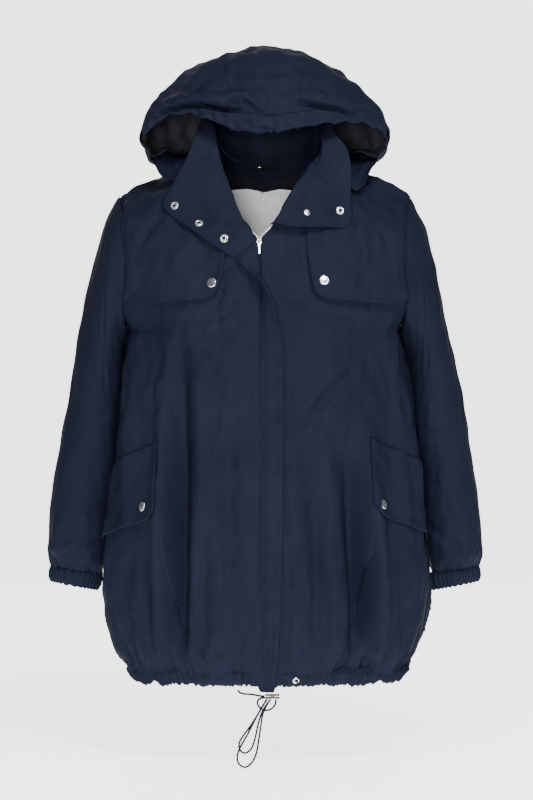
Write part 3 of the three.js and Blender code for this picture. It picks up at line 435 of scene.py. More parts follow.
BACK_TOP = table(TOP_COLUMNS, [
    (0, 128, -205, 215, 60, -212, 124, 0, 39, 20, 0),
    (0, 128, -175, 214, 84, -178, 118, 0, 40, 45, 0),
    (0, 126, -140, 214, 91, -140, 112, 0, 46, 55, 0),
    (0, 122, -105, 216, 83, -101, 105, 0, 52, 62, 0),
    (0, 114, -65, 219, 61, -68, 98, 0, 58, 66, 0.05),
    (0, 100, -30, 222, 38, -48, 92, 0, 58, 70, 0.15),
    (0, 78, 2, 224, 19, -35.5, 80, -0.05, 52, 78, 0.35),
    (45, 66, 12, 226, 7, -29, 55, -0.15, 44, 85, 0.55),
    (74, 35, 23, 226, 3, -27, 50, -0.18, 38, 88, 0.7),
    (84, 0, 30, 226, 0, -26, 48, -0.2, 36, 90, 0.75),
])
PRINCESS_X = np.array([112, 120, 132, 144, 152, 158, 160, 160, 161, 161,
                       161, 161, 160, 158, 156, 155, 154, 153, 152], float)
ZIP_Z = np.array([HEM_Z, -600, -400, -250, -180, -104, -60], float)
ZIP_X = np.array([5, 5, 4, 1, -4, -8, -8], float)
# How far each front's edge is from the zip's middle, how much of that closes below the slider, and
# how much more opens above it.
ZIP_HALF, ZIP_CLOSES, ZIP_OPENS = 5, 5.4, 15
NECKLINE = UNDERARM + 5


def sections(top, depth):
    low = {
        "in_x": 0, "in_y": BODY[depth], "in_z": BODY["z"],
        "out_x": BODY["half"], "out_y": BODY["side"], "out_z": BODY["z"],
        "reach_in": FULLNESS * BODY["half"], "fall": 0,
        "reach_out": FULLNESS * np.abs(BODY["side"] - BODY[depth]), "turn": 0, "climb": 0,
        "sway": BODY["sway"],
    }
    above = {**top, "sway": np.zeros(len(top["in_x"]))}
    size = len(BODY["z"])
    return {name: np.concatenate([np.broadcast_to(low[name], size), above[name]]) for name in low}


FRONT = {"rows": sections(FRONT_TOP, "front"), "face": 1}
BACK = {"rows": sections(BACK_TOP, "back"), "face": -1}


def top_of(part):
    return len(part["rows"]["in_x"]) - 1


def body_point(part, side, u, v):
    """A point of the front or back: u runs from the centre to the side, v counts the sections up."""
    u, v = np.broadcast_arrays(np.asarray(u, float), np.asarray(v, float))
    rows, face = part["rows"], part["face"]
    at = {name: column(values, v) for name, values in rows.items()}
    for name in ("out_x", "out_y", "out_z"):
        below = column(rows[name], v, 0, UNDERARM)
        at[name] = np.where(v < UNDERARM, below, column(rows[name], v, UNDERARM, top_of(part)))
    turn = np.radians(at["turn"])
    zero = np.zeros_like(u)
    inner = np.stack([at["in_x"], at["in_y"], at["in_z"]], axis=-1)
    outer = np.stack([at["out_x"], at["out_y"], at["out_z"]], axis=-1)
    leave = unit(np.stack([zero + 1, zero, at["fall"]], axis=-1))
    arrive = unit(np.stack([-np.sin(turn), -face * np.cos(turn), at["climb"]], axis=-1))
    beyond = inner + leave * at["reach_in"][..., None]
    before = outer + arrive * at["reach_out"][..., None]
    t = u[..., None]
    s = 1 - t
    point = s**3 * inner + 3 * s**2 * t * beyond + 3 * s * t**2 * before + t**3 * outer
    point = point * np.array([side, 1, 1])
    point[..., 0] += at["sway"]
    return point


def across(part, v, x):
    """Where a section is as far from the body's own centre as x."""
    v, x = np.broadcast_arrays(np.asarray(v, float), np.asarray(x, float))
    sway = column(part["rows"]["sway"], v)
    return solve(lambda u: body_point(part, LEFT, u, v)[..., 0] - sway, x, -0.1, 1, v.shape)


def section_at(part, u, z):
    """The section of a part that crosses a height at u."""
    u, z = np.broadcast_arrays(np.asarray(u, float), np.asarray(z, float))
    return solve(lambda v: body_point(part, LEFT, u, v)[..., 2], z, 0, top_of(part), z.shape)


def zip_edge(side):
    """Where a front stops beside the zip, as a function of v."""
    def edge(v):
        rows = FRONT["rows"]
        z = body_point(FRONT, LEFT, 0, np.minimum(v, NECKLINE))[..., 2]
        parted = ZIP_HALF - ZIP_CLOSES * smooth_step(-z, 94, 106) + ZIP_OPENS * smooth_step(z, -99, -77)
        beside = side * (np.interp(z, ZIP_Z, ZIP_X) - column(rows["sway"], v)) + parted
        neck = column(rows["in_x"], v)
        reach = np.maximum(beside, neck - 14)
        above = v - NECKLINE
        neck = neck + 4 * peak(above, 0.7, 0.4)
        wider = np.maximum(beside + 14 * np.clip(above, 0, 0.5), neck)
        return across(FRONT, v, np.where(above > 0, wider, reach))
    return edge


def princess(v):
    return across(FRONT, v, column(PRINCESS_X, v))


def whole(v):
    return np.ones_like(v)


def panel_points(part, side, low, high, rows, columns):
    """Rows of points of a panel between two lines that cross its rows."""
    v = rows[:, None]
    start, end = low(rows)[:, None], high(rows)[:, None]
    return body_point(part, side, start + (end - start) * columns[None, :], v)


def on_fronts(x, z, lift=0.0):
    """Points off the fronts at distances x and heights z, with the way out of the cloth there."""
    x, z = np.broadcast_arrays(np.asarray(x, float), np.asarray(z, float))
    v = section_at(FRONT, 0.3, z)
    for _ in range(3):
        sway = column(FRONT["rows"]["sway"], v)
        side = np.where(x < sway, RIGHT, LEFT)
        u = across(FRONT, v, side * (x - sway))
        v = section_at(FRONT, u, z)
    step = 1e-3
    point = body_point(FRONT, 1, u, v)
    along = body_point(FRONT, 1, u + step, v) - body_point(FRONT, 1, u - step, v)
    up = body_point(FRONT, 1, u, v + step) - body_point(FRONT, 1, u, v - step)
    normal = unit(np.cross(along, up))
    sway = column(FRONT["rows"]["sway"], v)
    mirror = np.stack([side, np.ones_like(x), np.ones_like(x)], axis=-1)
    point[..., 0] -= sway
    point = point * mirror
    point[..., 0] += sway
    normal = normal * mirror
    return point + normal * lift, normal


# ---- The cut: sleeves and cuffs ----------------------------------------------
RING_COLUMNS = "out_x out_z in_x in_z mid deep tuck"
SLEEVE = table(RING_COLUMNS, [
    (247, -62, 220, -248, 8, 84, 0),
    (263, -118, 225, -264, 14, 80, 1),
    (277, -175, 230, -292, 22, 75, 3),
    (290, -232, 234, -332, 31, 70, 5),
    (303, -295, 238, -380, 40, 65, 6),
    (315, -360, 243, -432, 48, 60, 7),
    (325, -425, 248, -484, 53, 56, 7),
    (335, -482, 252, -534, 56, 53, 7),
    (342, -545, 256, -578, 58, 51, 7),
    (343, -580, 258, -598, 58, 46, 6),
    (338, -600, 261, -613, 58, 32, 3),
])
CUFF = table(RING_COLUMNS, [
    (337, -604, 259, -617, 58, 25, 2),
    (340, -616, 260, -630, 58, 26, 1),
    (338, -629, 265, -643, 58, 23, 0),
])


def arm_table(part):
    """How far round the armhole each section's end lies, from the shoulder down, as (v, share)."""
    places = np.linspace(top_of(part), UNDERARM, 121)
    points = body_point(part, LEFT, 1, places)
    lengths = np.concatenate([[0], np.cumsum(np.linalg.norm(np.diff(points, axis=0), axis=1))])
    return places, lengths / lengths[-1] / 2


ARM_FRONT = arm_table(FRONT)
ARM_BACK = arm_table(BACK)


def armhole(side, share):
    """Points of the armhole, from the shoulder down the front and up the back."""
    front_v = np.interp(share, ARM_FRONT[1], ARM_FRONT[0])
    back_v = np.interp(1 - share, ARM_BACK[1], ARM_BACK[0])
    front, back = body_point(FRONT, side, 1, front_v), body_point(BACK, side, 1, back_v)
    return np.where((share <= 0.5)[..., None], front, back)


def ring_point(rows, side, share, place):
    """A point of an elliptical ring, between its outer and its inner end."""
    at = {name: column(values, place) for name, values in rows.items()}
    reach = np.cos(2 * np.pi * share) / 2
    inner = at["in_x"] - (at["tuck"] if side == RIGHT else 0)
    x = (at["out_x"] + inner) / 2 + (at["out_x"] - inner) * reach
    z = (at["out_z"] + at["in_z"]) / 2 + (at["out_z"] - at["in_z"]) * reach
    return np.stack([side * x, at["mid"] - at["deep"] * np.sin(2 * np.pi * share), z], axis=-1)


def sleeve_point(side, share, place):
    """A point of a sleeve: place 0 is the armhole, and the rings of the table follow."""
    share, place = np.broadcast_arrays(share % 1.0, np.asarray(place, float))
    last = len(SLEEVE["mid"])
    i = np.clip(np.floor(place).astype(int), 0, last - 1)

    def ring(k):
        k = np.clip(k, 0, last)
        loft = ring_point(SLEEVE, side, share, np.maximum(k - 1, 0).astype(float))
        return np.where((k == 0)[..., None], armhole(side, share), loft)

    a, b, c, d = (ring(i + k) for k in (-1, 0, 1, 2))
    t = (place - i)[..., None]
    return b + 0.5 * t * (c - a + t * (2 * a - 5 * b + 4 * c - d + t * (3 * (b - c) + d - a)))


# ---- The cut: collar and hood ------------------------------------------------
COLLAR = table("seam_x seam_y seam_z roll_x roll_y roll_z edge_x edge_y edge_z fold", [
    (-15, -129, -100, -12, -138, -102, -43, -138, -131, 1),
    (-17, -127, -92, -18, -136, -92, -78, -133, -108, 1),
    (-22, -124, -81, -25, -133, -82, -117, -114, -80, 1),
    (-34, -119, -67, -32, -129, -70, -156, -83, -48, 1),
    (-50, -107, -46, -43, -116, -44, -145, -82, -20, 1),
    (-66, -83, -16, -55, -99, -10, -133, -82, 4, 1),
    (-78, -42, 16, -66, -76, 22, -120, -78, 26, 0.9),
    (-83.5, 0, 31.2, -75, -46, 72, -103, -60, 74, 0.5),
    (-73.8, 35, 24.4, -80, 10, 82, -88, 0, 122, 0.1),
    (-45, 66.5, 13.4, -52, 68, 70, -56, 66, 128, 0),
    (0, 79, 3.4, 0, 90, 64, 0, 92, 126, 0),
    (45, 66.5, 13.4, 52, 68, 70, 56, 66, 126, 0),
    (73.8, 35, 24.4, 82, 10, 78, 92, 0, 116, 0.1),
    (83.5, 0, 31.2, 86, -46, 56, 107, -62, 70, 0.5),
    (78, -42, 16, 76, -68, 24, 127, -76, 40, 0.9),
    (66, -83, -16, 60, -92, 2, 133, -86, 3, 1),
    (51, -106, -45, 47, -108, -15, 132, -96, -35, 1),
    (35, -118, -63, 35, -121, -38, 130, -112, -77, 1),
    (20, -123, -71, 24, -129, -56, 92, -124, -81, 1),
    (8, -126, -77, 13, -135, -76, 48, -133, -82, 1),
])
ROLL = 0.4


def bezier(a, b, c, d, t):
    s = 1 - t
    return s**3 * a + 3 * s**2 * t * b + 3 * s * t**2 * c + t**3 * d


def collar_point(place, t):
    """A point of the collar: place counts its rows, and t runs from the seam over the roll."""
    place, t = np.broadcast_arrays(np.asarray(place, float), np.asarray(t, float))
    seam, roll, edge = (vectors_at(COLLAR, name, place) for name in ("seam", "roll", "edge"))
    fold = np.clip(column(COLLAR["fold"], place), 0, 1)
    over = unit(np.stack([np.zeros_like(fold), -fold, 1 - fold], axis=-1)) * (26 - 17 * fold)[..., None]
    inner = bezier(seam, seam + (roll - seam) / 3, roll - over, roll, np.minimum(t / ROLL, 1)[..., None])
    outer = bezier(roll, roll + over, edge + (roll - edge) / 3, edge,
                   np.maximum((t - ROLL) / (1 - ROLL), 0)[..., None])
    return np.where((t < ROLL)[..., None], inner, outer)


HOOD_STOPS = ("e", "a", "b", "n", "c", "m")
HOOD_COLUMNS = " ".join(f"{stop}_{axis}" for stop in HOOD_STOPS for axis in "xyz")
HOOD_SHELL = [
    (191, -42, 55, 180, -16, 30, 156, 14, 38, 124, 50, 40, 72, 92, 36, 0, 116, 34),
    (193, -37, 58, 188, -2, 46, 168, 38, 48, 132, 84, 52, 72, 120, 56, 0, 136, 63),
    (194, -34, 63, 191, 4, 70, 172, 52, 80, 132, 98, 90, 72, 132, 98, 0, 144, 104),
    (193, -36, 68, 187, 0, 95, 163, 44, 116, 122, 86, 134, 66, 116, 148, 0, 126, 152),
    (191, -41, 72, 181, -12, 106, 153, 20, 138, 113, 52, 164, 62, 76, 184, 0, 84, 190),
    (189, -47, 74, 176, -32, 110, 146, -14, 147, 108, 4, 175, 60, 15, 199, 0, 20, 210),
    (187, -52, 73, 169, -51, 107, 138, -49, 138, 102, -46, 163, 55, -43, 184, 0, -46, 192),
]
HOOD_LIP = {
    RIGHT: (187, -50, 54, 172, -57, 22, 146, -64, -4, 104, -24, 36, 78, 50, 42, 0, 93, 18),
    LEFT: (187, -50, 54, 178, -58, 30, 138, -74, -20, 104, -24, 36, 78, 50, 42, 0, 93, 18),
}
HOOD_BRIM = {
    RIGHT: [
        (187, -56, 71, 163, -68, 102, 128, -80, 121, 90, -87, 131, 46, -91, 140, 0, -94, 146),
        (187, -59, 68, 160, -75, 105, 124, -89, 110, 86, -98, 106, 44, -104, 95, 0, -106, 91),
        (186, -58, 61, 158, -75, 86, 124, -90, 94, 86, -99, 84, 44, -105, 67, 0, -107, 63),
    ],
    LEFT: [
        (187, -56, 71, 163, -68, 100, 128, -80, 119, 90, -87, 130, 46, -91, 140, 0, -94, 146),
        (187, -59, 68, 160, -75, 98, 126, -89, 102, 88, -98, 99, 46, -104, 94, 0, -106, 91),
        (186, -58, 61, 160, -75, 78, 126, -90, 80, 88, -99, 77, 46, -105, 69, 0, -107, 63),
    ],
}
HOOD_ROWS = {
    side: table(HOOD_COLUMNS, [HOOD_LIP[side], *HOOD_SHELL, *HOOD_BRIM[side]])
    for side in (RIGHT, LEFT)
}
CASING_ROW = 9
BRIM_ROW = 10
HOOD_SEAM = 0.76


def hood_point(side, s, row):
    """A point of the hood: s runs from the corner of its mouth to the middle, row from the lip over
    the crown to the brim."""
    s, row = np.broadcast_arrays(np.asarray(s, float), np.asarray(row, float))
    stops = [vectors_at(HOOD_ROWS[side], name, row) for name in HOOD_STOPS]
    stops.append(stops[-2] * np.array([-1, 1, 1]))
    line = np.stack(stops, axis=-1)
    last = len(HOOD_STOPS) - 1
    place = last * s
    i = np.clip(np.floor(place).astype(int), 0, last)

    def at(k):
        index = np.clip(i + k, 0, last + 1)[..., None, None]
        return np.take_along_axis(line, np.broadcast_to(index, (*s.shape, 3, 1)), axis=-1)[..., 0]

    a, b, c, d = (at(k) for k in (-1, 0, 1, 2))
    t = (place - i)[..., None]
    point = b + 0.5 * t * (c - a + t * (2 * a - 5 * b + 4 * c - d + t * (3 * (b - c) + d - a)))
    return point * np.array([side, 1, 1])


# ---- Relief: creases, gathers, puckers and seams -----------------------------
def ripple(points, length, seed, waves=10):
    """Smooth, uneven ripples of about one length in every direction, of about unit height.

    Each call has a seed of its own, so that no piece changes another's folds.
    """
    rng = np.random.default_rng(seed)
    away = unit(rng.normal(size=(waves, points.shape[-1]))) * rng.uniform(0.7, 1.35, (waves, 1))
    phase = rng.uniform(0, 2 * np.pi, waves)
    total = np.zeros(points.shape[:-1])
    for direction, start in zip(away * 2 * np.pi / length, phase):
        total += np.sin(points @ direction + start)
    return total / math.sqrt(waves / 2)


def line_of(values, length, seed):
    """Ripples along one measure only."""
    return ripple(np.asarray(values, float)[..., None], length, seed, waves=6)


def crease_field(across_place, up_place, creases):
    """Soft troughs and ridges along given lines. Each is (width, depth, [(place, place), ...]).

    A trough has a depth above 0 and low shoulders, and every crease fades out at its ends.
    """
    total = np.zeros(across_place.shape)
    for width, depth, line in creases:
        line = np.array(line, float)
        steps = np.linalg.norm(np.diff(line, axis=0), axis=1)
        starts = np.concatenate([[0], np.cumsum(steps)]) / steps.sum()
        best = np.full(across_place.shape, 1e9)
        along = np.zeros(across_place.shape)
        for (x0, z0), (x1, z1), low, high in zip(line, line[1:], starts, starts[1:]):
            dx, dz = x1 - x0, z1 - z0
            t = np.clip(((across_place - x0) * dx + (up_place - z0) * dz) / (dx * dx + dz * dz), 0, 1)
            far = np.hypot(across_place - x0 - t * dx, up_place - z0 - t * dz)
            along = np.where(far < best, low + (high - low) * t, along)
            best = np.minimum(best, far)
        taper = np.sin(np.pi * np.clip(along, 0.02, 0.98)) ** 0.7
        r = best / width
        total -= depth * taper * (np.exp(-r * r) - 0.34 * np.exp(-((r - 1.8) ** 2) / 0.6))
    return total


def measured(points, outward, closed=False):
    """A grid of points with its normals and each point's distance from the grid's four edges."""
    wide = np.concatenate([points[:, -2:-1], points, points[:, 1:2]], axis=1) if closed else points
    along = np.gradient(wide, axis=1)
    along = along[:, 1:-1] if closed else along
    up = np.gradient(points, axis=0)
    normals = unit(np.cross(along, up)) * outward
    rows = np.cumsum(np.linalg.norm(np.diff(points, axis=1, prepend=points[:, :1]), axis=-1), axis=1)
    columns = np.cumsum(np.linalg.norm(np.diff(points, axis=0, prepend=points[:1]), axis=-1), axis=0)
    return {
        "points": points, "normals": normals, "outward": outward, "closed": closed,
        "left": rows, "right": rows[:, -1:] - rows, "bottom": columns, "top": columns[-1:] - columns,
    }


def seam_dip(distance, depth=1.0):
    """A sewn edge: the cloth rolls down into the seam and is bulkier over the seam allowance."""
    return -depth * peak(distance, 0, 1.6) + 0.35 * peak(distance, 4.5, 2.4)


def topstitch_dip(distance, at, depth=0.3):
    return -depth * peak(distance, at, 0.8)


def pucker(distance, along, seed, height=0.6, length=9.0, reach=10.0):
    """Short puckers square to a seam that fade away from it."""
    slant = along + 0.35 * distance
    return height * fading(distance, reach) * line_of(slant, length, seed)


def lobes(phase):
    """Rounded ridges with narrow valleys, from 0 to 1, as gathers have."""
    return np.abs(np.sin(phase / 2))


# ---- Cloth as meshes ---------------------------------------------------------
WALL = 0.9
SURFACES = {}


def grid_mesh(name, points, weave, outward, split=None):
    """A mesh on a grid of points in millimetres, with its weave map, facing outward.

    A split is a column of the grid. The strip of faces just before it is left out.
    """
    rows, columns = points.shape[:2]
    shape = bmesh.new()
    bmesh.ops.create_grid(shape, x_segments=columns - 1, y_segments=rows - 1, size=1.0)
    if split is not None:
        strip = (2 * split - 1) / (columns - 1) - 1
        near = 0.5 / (columns - 1)
        between = [face for face in shape.faces if abs(face.calc_center_median().x - strip) < near]
        bmesh.ops.delete(shape, geom=between, context="FACES_ONLY")
    mesh = bpy.data.meshes.new(name)
    shape.to_mesh(mesh)
    shape.free()
    flat = np.empty(len(mesh.vertices) * 3)
    mesh.vertices.foreach_get("co", flat)
    flat = flat.reshape(-1, 3)
    c = np.rint((flat[:, 0] + 1) / 2 * (columns - 1)).astype(int)
    r = np.rint((flat[:, 1] + 1) / 2 * (rows - 1)).astype(int)
    mesh.vertices.foreach_set("co", (points[r, c] * MM).ravel())
    corner = np.empty(len(mesh.loops), int)
    mesh.loops.foreach_get("vertex_index", corner)
    weave_map = mesh.uv_layers.new(name="weave")
    weave_map.uv.foreach_set("vector", (weave[r, c][corner] * MM).ravel())
    if outward < 0:
        mesh.flip_normals()
    return mesh


def shade_smooth(mesh):
    mesh.polygons.foreach_set("use_smooth", [True] * len(mesh.polygons))


def weld(mesh):
    shape = bmesh.new()
    shape.from_mesh(mesh)
    bmesh.ops.remove_doubles(shape, verts=shape.verts, dist=2e-6)
    shape.to_mesh(mesh)
    shape.free()


def area_of(points):
    """The area of a grid of points, in square metres when they are in millimetres."""
    a = points[1:, 1:] - points[:-1, :-1]
    b = points[1:, :-1] - points[:-1, 1:]
    return float(np.linalg.norm(np.cross(a, b), axis=-1).sum() / 2 * MM * MM)


def cloth(name, grid, relief, material, nodes, wall=WALL, shift=None,
          split=None, joined=0):
    """A finished sheet: the grid moved along its normals by the relief, then given its thickness.

    At a split the grid has two columns for one line, which are joined in the lowest rows only.
    """
    points = grid["points"] + grid["normals"] * relief[..., None]
    if shift is not None:
        points = points + shift
    if grid["closed"]:
        points[:, -1] = points[:, 0]
    if split is not None:
        points[:joined, split - 1] = points[:joined, split]
    weave = np.stack([grid["left"], grid["bottom"]], axis=-1)
    mesh = grid_mesh(name, points, weave, grid["outward"], split)
    if grid["closed"] or split is not None:
        weld(mesh)
    shade_smooth(mesh)
    piece = finished(name, mesh, material, stands_for=nodes)
    thick = piece.modifiers.new("wall", "SOLIDIFY")
    thick.thickness = wall * MM
    thick.offset = -1
    width = float(grid["left"][:, -1].max()) * MM
    length = float(grid["bottom"][-1].max()) * MM
    area = area_of(points)
    grow = max(1.0, (area / (width * length)) ** 0.5)
    flat = (round(width * grow, 4), round(length * grow + 0.0005, 4))
    area = round(min(area, flat[0] * flat[1]), 5)
    along, up = np.gradient(points, axis=1), np.gradient(points, axis=0)
    facing = unit(np.cross(along, up)) * grid["outward"]
    SURFACES[name] = {**grid, "final": points, "facing": facing}


# ---- Relief of the body ------------------------------------------------------
# Creases of the front by distance from the middle (the wearer's left is positive) and height.
FRONT_CREASES = [
    (15, 37, [(-124, -262), (-127, -340), (-128, -440), (-131, -560), (-133, -680), (-126, -840)]),
    (9, -3.5, [(-152, -360), (-156, -470), (-158, -600), (-152, -740)]),
    (10, 5.4, [(-96, -560), (-100, -650), (-94, -800)]),
    (8, 2.6, [(-104, -330), (-103, -470), (-108, -600)]),
    (9, 6.4, [(-180, -540), (-184, -630), (-172, -790)]),
    (8, 4.8, [(-206, -560), (-214, -640), (-196, -780)]),
    (8, 4.2, [(206, -580), (212, -660), (196, -780)]),
    (16, 40, [(122, -400), (133, -470), (141, -560), (147, -650), (138, -840)]),
    (9, -3.8, [(172, -480), (176, -580), (172, -720)]),
    (8, 4.8, [(112, -520), (118, -620), (108, -800)]),
    (9, 3.5, [(106, -470), (110, -590), (116, -700)]),
    (8, 2.9, [(178, -580), (183, -660), (172, -740)]),
    (7, 5.8, [(30, -394), (62, -374), (97, -334), (124, -306), (156, -280)]),
    (9, -2.9, [(56, -352), (88, -318), (118, -288)]),
    (5, 2.2, [(58, -396), (88, -380), (112, -352)]),
    (6, 2.2, [(-60, -300), (-84, -420), (-80, -520)]),
    (6, 2.0, [(72, -500), (80, -600), (72, -700)]),
    (5, 2.4, [(-150, -250), (-166, -300), (-176, -360)]),
    (5, 2.0, [(-190, -260), (-168, -290), (-146, -330), (-138, -372)]),
    (4.5, 2.0, [(-118, -262), (-140, -290), (-150, -330)]),
    (5, 2.2, [(170, -262), (186, -300), (200, -350)]),
    (5, 2.0, [(60, -196), (96, -214), (140, -216)]),
    (4.5, 1.8, [(20, -182), (52, -204), (84, -240)]),
    (4.5, 2.2, [(-30, -196), (-62, -218), (-112, -226)]),
    (5, 2.0, [(-46, -240), (-90, -246), (-134, -238)]),
    (4, 2.6, [(-46, -130), (-62, -150), (-98, -160)]),
    (4, 2.6, [(30, -112), (48, -126), (54, -150)]),
    (4.5, 2.4, [(-58, -160), (-72, -196), (-70, -236)]),
    (4, 2.0, [(140, -92), (150, -120), (142, -150)]),
    (5, 2.9, [(-150, -62), (-176, -84), (-196, -120)]),
    (5, 2.4, [(160, -66), (180, -92), (196, -132)]),
    (4, 2.0, [(118, -84), (150, -96), (186, -92)]),
    (5, 2.9, [(-212, -250), (-206, -300), (-214, -370)]),
    (5, 2.9, [(210, -250), (204, -310), (214, -380)]),
    (4, 3.3, [(-56, -752), (-34, -738), (-10, -724)]),
    (4, 3.1, [(24, -744), (44, -756), (70, -766)]),
    (4, 2.4, [(-96, -756), (-84, -734), (-58, -716)]),
    (6, 2.4, [(-20, -300), (-26, -380), (-22, -470)]),
    (4, 1.8, [(-48, -300), (-30, -318), (-16, -350)]),
    (5, 2.0, [(50, -560), (58, -640), (52, -724)]),
    (5, 2.0, [(-52, -560), (-60, -640), (-56, -724)]),
]
BACK_CREASES = [
    (15, 20, [(-118, -230), (-126, -360), (-130, -500), (-136, -640), (-126, -830)]),
    (14, 18, [(106, -280), (124, -400), (134, -540), (140, -660), (130, -830)]),
    (13, 11, [(-30, -380), (-38, -520), (-34, -660), (-30, -820)]),
    (12, 10, [(52, -420), (48, -560), (56, -680), (50, -820)]),
    (9, 3.1, [(-190, -330), (-198, -470), (-194, -640)]),
    (9, 3.1, [(188, -300), (200, -450), (196, -620)]),
    (7, 3.2, [(-190, -200), (-140, -214), (-84, -196)]),
    (7, 3.1, [(186, -190), (138, -208), (92, -190)]),
    (6, 3.1, [(-200, -120), (-150, -136), (-108, -120)]),
    (6, 3.1, [(200, -112), (154, -130), (104, -112)]),
    (8, 2.7, [(-70, -20), (-40, -32), (0, -36), (44, -32), (74, -18)]),
    (6, 2.4, [(-96, -52), (-40, -66), (20, -62), (92, -50)]),
    (6, 2.6, [(-60, -250), (-10, -262), (50, -252)]),
    (5, 2.2, [(-150, -300), (-110, -330), (-60, -336)]),
    (5, 2.2, [(160, -260), (120, -290), (70, -300)]),
    (5, 2.6, [(-80, -742), (-62, -720), (-44, -700)]),
    (5, 2.6, [(84, -742), (96, -722), (112, -704)]),
]
FRONT_SEED, BACK_SEED = 21, 61
HEM_GATHERS = 2 * np.pi / 12.5
HEM_MIDDLE = 5
HEM_HALF_WIDTH, HEM_HALF_DEPTH, HEM_RADIUS = 213, 138, 165
CREASE_FOOT = (-764, -684)


def hem_phase(points):
    """Where each gather of the hem lies, as an angle, and how far round the hem, in millimetres."""
    x, y = points[..., 0] - HEM_MIDDLE, points[..., 1]
    around = np.arctan2(x / HEM_HALF_WIDTH, -y / HEM_HALF_DEPTH) * HEM_RADIUS
    waver = 5 * line_of(around, 62, 5) + 2.2 * line_of(around, 27, 6)
    return (around + waver) * HEM_GATHERS, around


def gather_strength(points, around):
    """Gathers are drawn tightest at the sides and the back, and hardly at all beside the placket."""
    aside = smooth_step(np.abs(points[..., 0] - HEM_MIDDLE), 70, 185) + (points[..., 1] > 12) * 0.8
    return (0.45 + 0.95 * np.minimum(aside, 1)) * (1 + 0.35 * line_of(around, 50, 11))


def ridged(values):
    """Turns ripples into rounded ridges with narrow valleys, of about unit height."""
    return 1 - 1.9 * np.exp(-np.abs(values) * 2.2)


def hem_folds(phase, around):
    return 0.9 * (lobes(phase) - 0.55) + 0.8 * ridged(line_of(around, 8, 16))


def hem_relief(points):
    """Gathers of the hem: uneven folds between narrow valleys that spread and fade upwards."""
    phase, around = hem_phase(points)
    high = np.maximum(points[..., 2] - CHANNEL_TOP_Z, 0)
    low = np.maximum(CHANNEL_TOP_Z - points[..., 2], 0)
    strength = gather_strength(points, around)
    near = fading(high, 11) * hem_folds(phase, around)
    reach = 30 + 16 * line_of(around, 34, 12)
    spread_up = around * (1 - high / 1900)
    middle = fading(high, np.maximum(reach, 10)) * ridged(line_of(spread_up, 17, 13))
    far = fading(high, 85) * ridged(line_of(spread_up, 34, 14)) * smooth_step(high, 4, 40)
    return strength * (3.0 * near + 4.1 * middle + 4.4 * far) + 0.5 * smooth_step(low, 0, 9)


def body_relief(points, creases, seed):
    """What folds and rumples do to the body's panels, by place."""
    z = points[..., 2]
    creases = crease_field(points[..., 0], z, creases) * smooth_step(z, *CREASE_FOOT)
    broad = 2.6 * ripple(points * np.array([1, 1, 0.34]), 96, seed)
    low = smooth_step(-z, 200, 470)
    columns = 2.6 * low * ripple(points * np.array([1, 1, 0.12]), 40, seed + 1)
    small = 0.8 * ripple(points * np.array([1, 1, 0.55]), 25, seed + 2)
    crumple = ripple(points * np.array([1, 1, 0.8]), 36, seed + 3)
    patchy = smooth_step(ripple(points, 120, seed + 4), -0.3, 0.9)
    lines = 2.0 * np.exp(-np.abs(crumple) * 5) * patchy
    fine = ripple(points * np.array([1, 1, 0.7]), 13, seed + 5)
    lines += 0.6 * np.exp(-np.abs(fine) * 4) * (1 - patchy * 0.5)
    return creases + broad + columns + small - lines + hem_relief(points)


def front_relief(points):
    return body_relief(points, FRONT_CREASES, FRONT_SEED)


# ---- Fronts ------------------------------------------------------------------
FRONT_ROWS = 226
PRINCESS_TUCK = 0.014
SEWN_FROM, SEWN_TO = -570, -500


def front_grid(side, low, high, columns):
    rows = np.linspace(1, top_of(FRONT), FRONT_ROWS)
    points = panel_points(FRONT, side, low, high, rows, np.linspace(0, 1, columns))
    return measured(points, side)


def tucked_princess(v):
    """The princess seam's inner side, which lies under the centre panel's edge."""
    return princess(v) - PRINCESS_TUCK


for side_name, side in SIDES.items():
    grid = front_grid(side, zip_edge(side), princess, 56)
    points = grid["points"]
    relief = front_relief(points)
    fade = smooth_step(np.abs(points[..., 0]), 10, 40) * 0.75 + 0.25
    inner = smooth_step(grid["left"], 0, 14)
    relief = relief * fade * (0.4 + 0.6 * inner)
    sewn = smooth_step(points[..., 2], SEWN_FROM, SEWN_TO)
    stitched = topstitch_dip(grid["right"], 2) + topstitch_dip(grid["right"], 8)
    relief += sewn * (seam_dip(grid["right"], 0.45) + stitched)
    relief += sewn * pucker(grid["right"], grid["bottom"], 31 + side, 0.5)
    relief += seam_dip(grid["left"], 0.6)
    relief -= 3.0 * fading(grid["left"], 6) * smooth_step(points[..., 2], -84, -68)
    cloth(f"front_panel_{side_name}", grid, relief, SHELL, [f"front_{side_name}_centre"])

    grid = front_grid(side, tucked_princess, whole, 42)
    points = grid["points"]
    relief = front_relief(points) - 1.3 * (1 - smooth_step(grid["left"], 1, 4))
    sewn = smooth_step(points[..., 2], SEWN_FROM, SEWN_TO)
    relief += sewn * (seam_dip(grid["left"], 0.45) + pucker(grid["left"], grid["bottom"], 31 + side, 0.5))
    relief += seam_dip(grid["right"], 0.4) + pucker(grid["right"], grid["bottom"], 41 + side, 0.5)
    cloth(f"front_side_panel_{side_name}", grid, relief, SHELL, [f"front_{side_name}_side"])


# ---- Back --------------------------------------------------------------------
def both_halves(make, columns):
    """Rows of points from the wearer's right side over the middle to the left side."""
    places = np.linspace(0, 1, columns // 2 + 1)
    right = make(RIGHT, places)
    left = make(LEFT, places)
    return np.concatenate([right[:, :0:-1], left], axis=1)


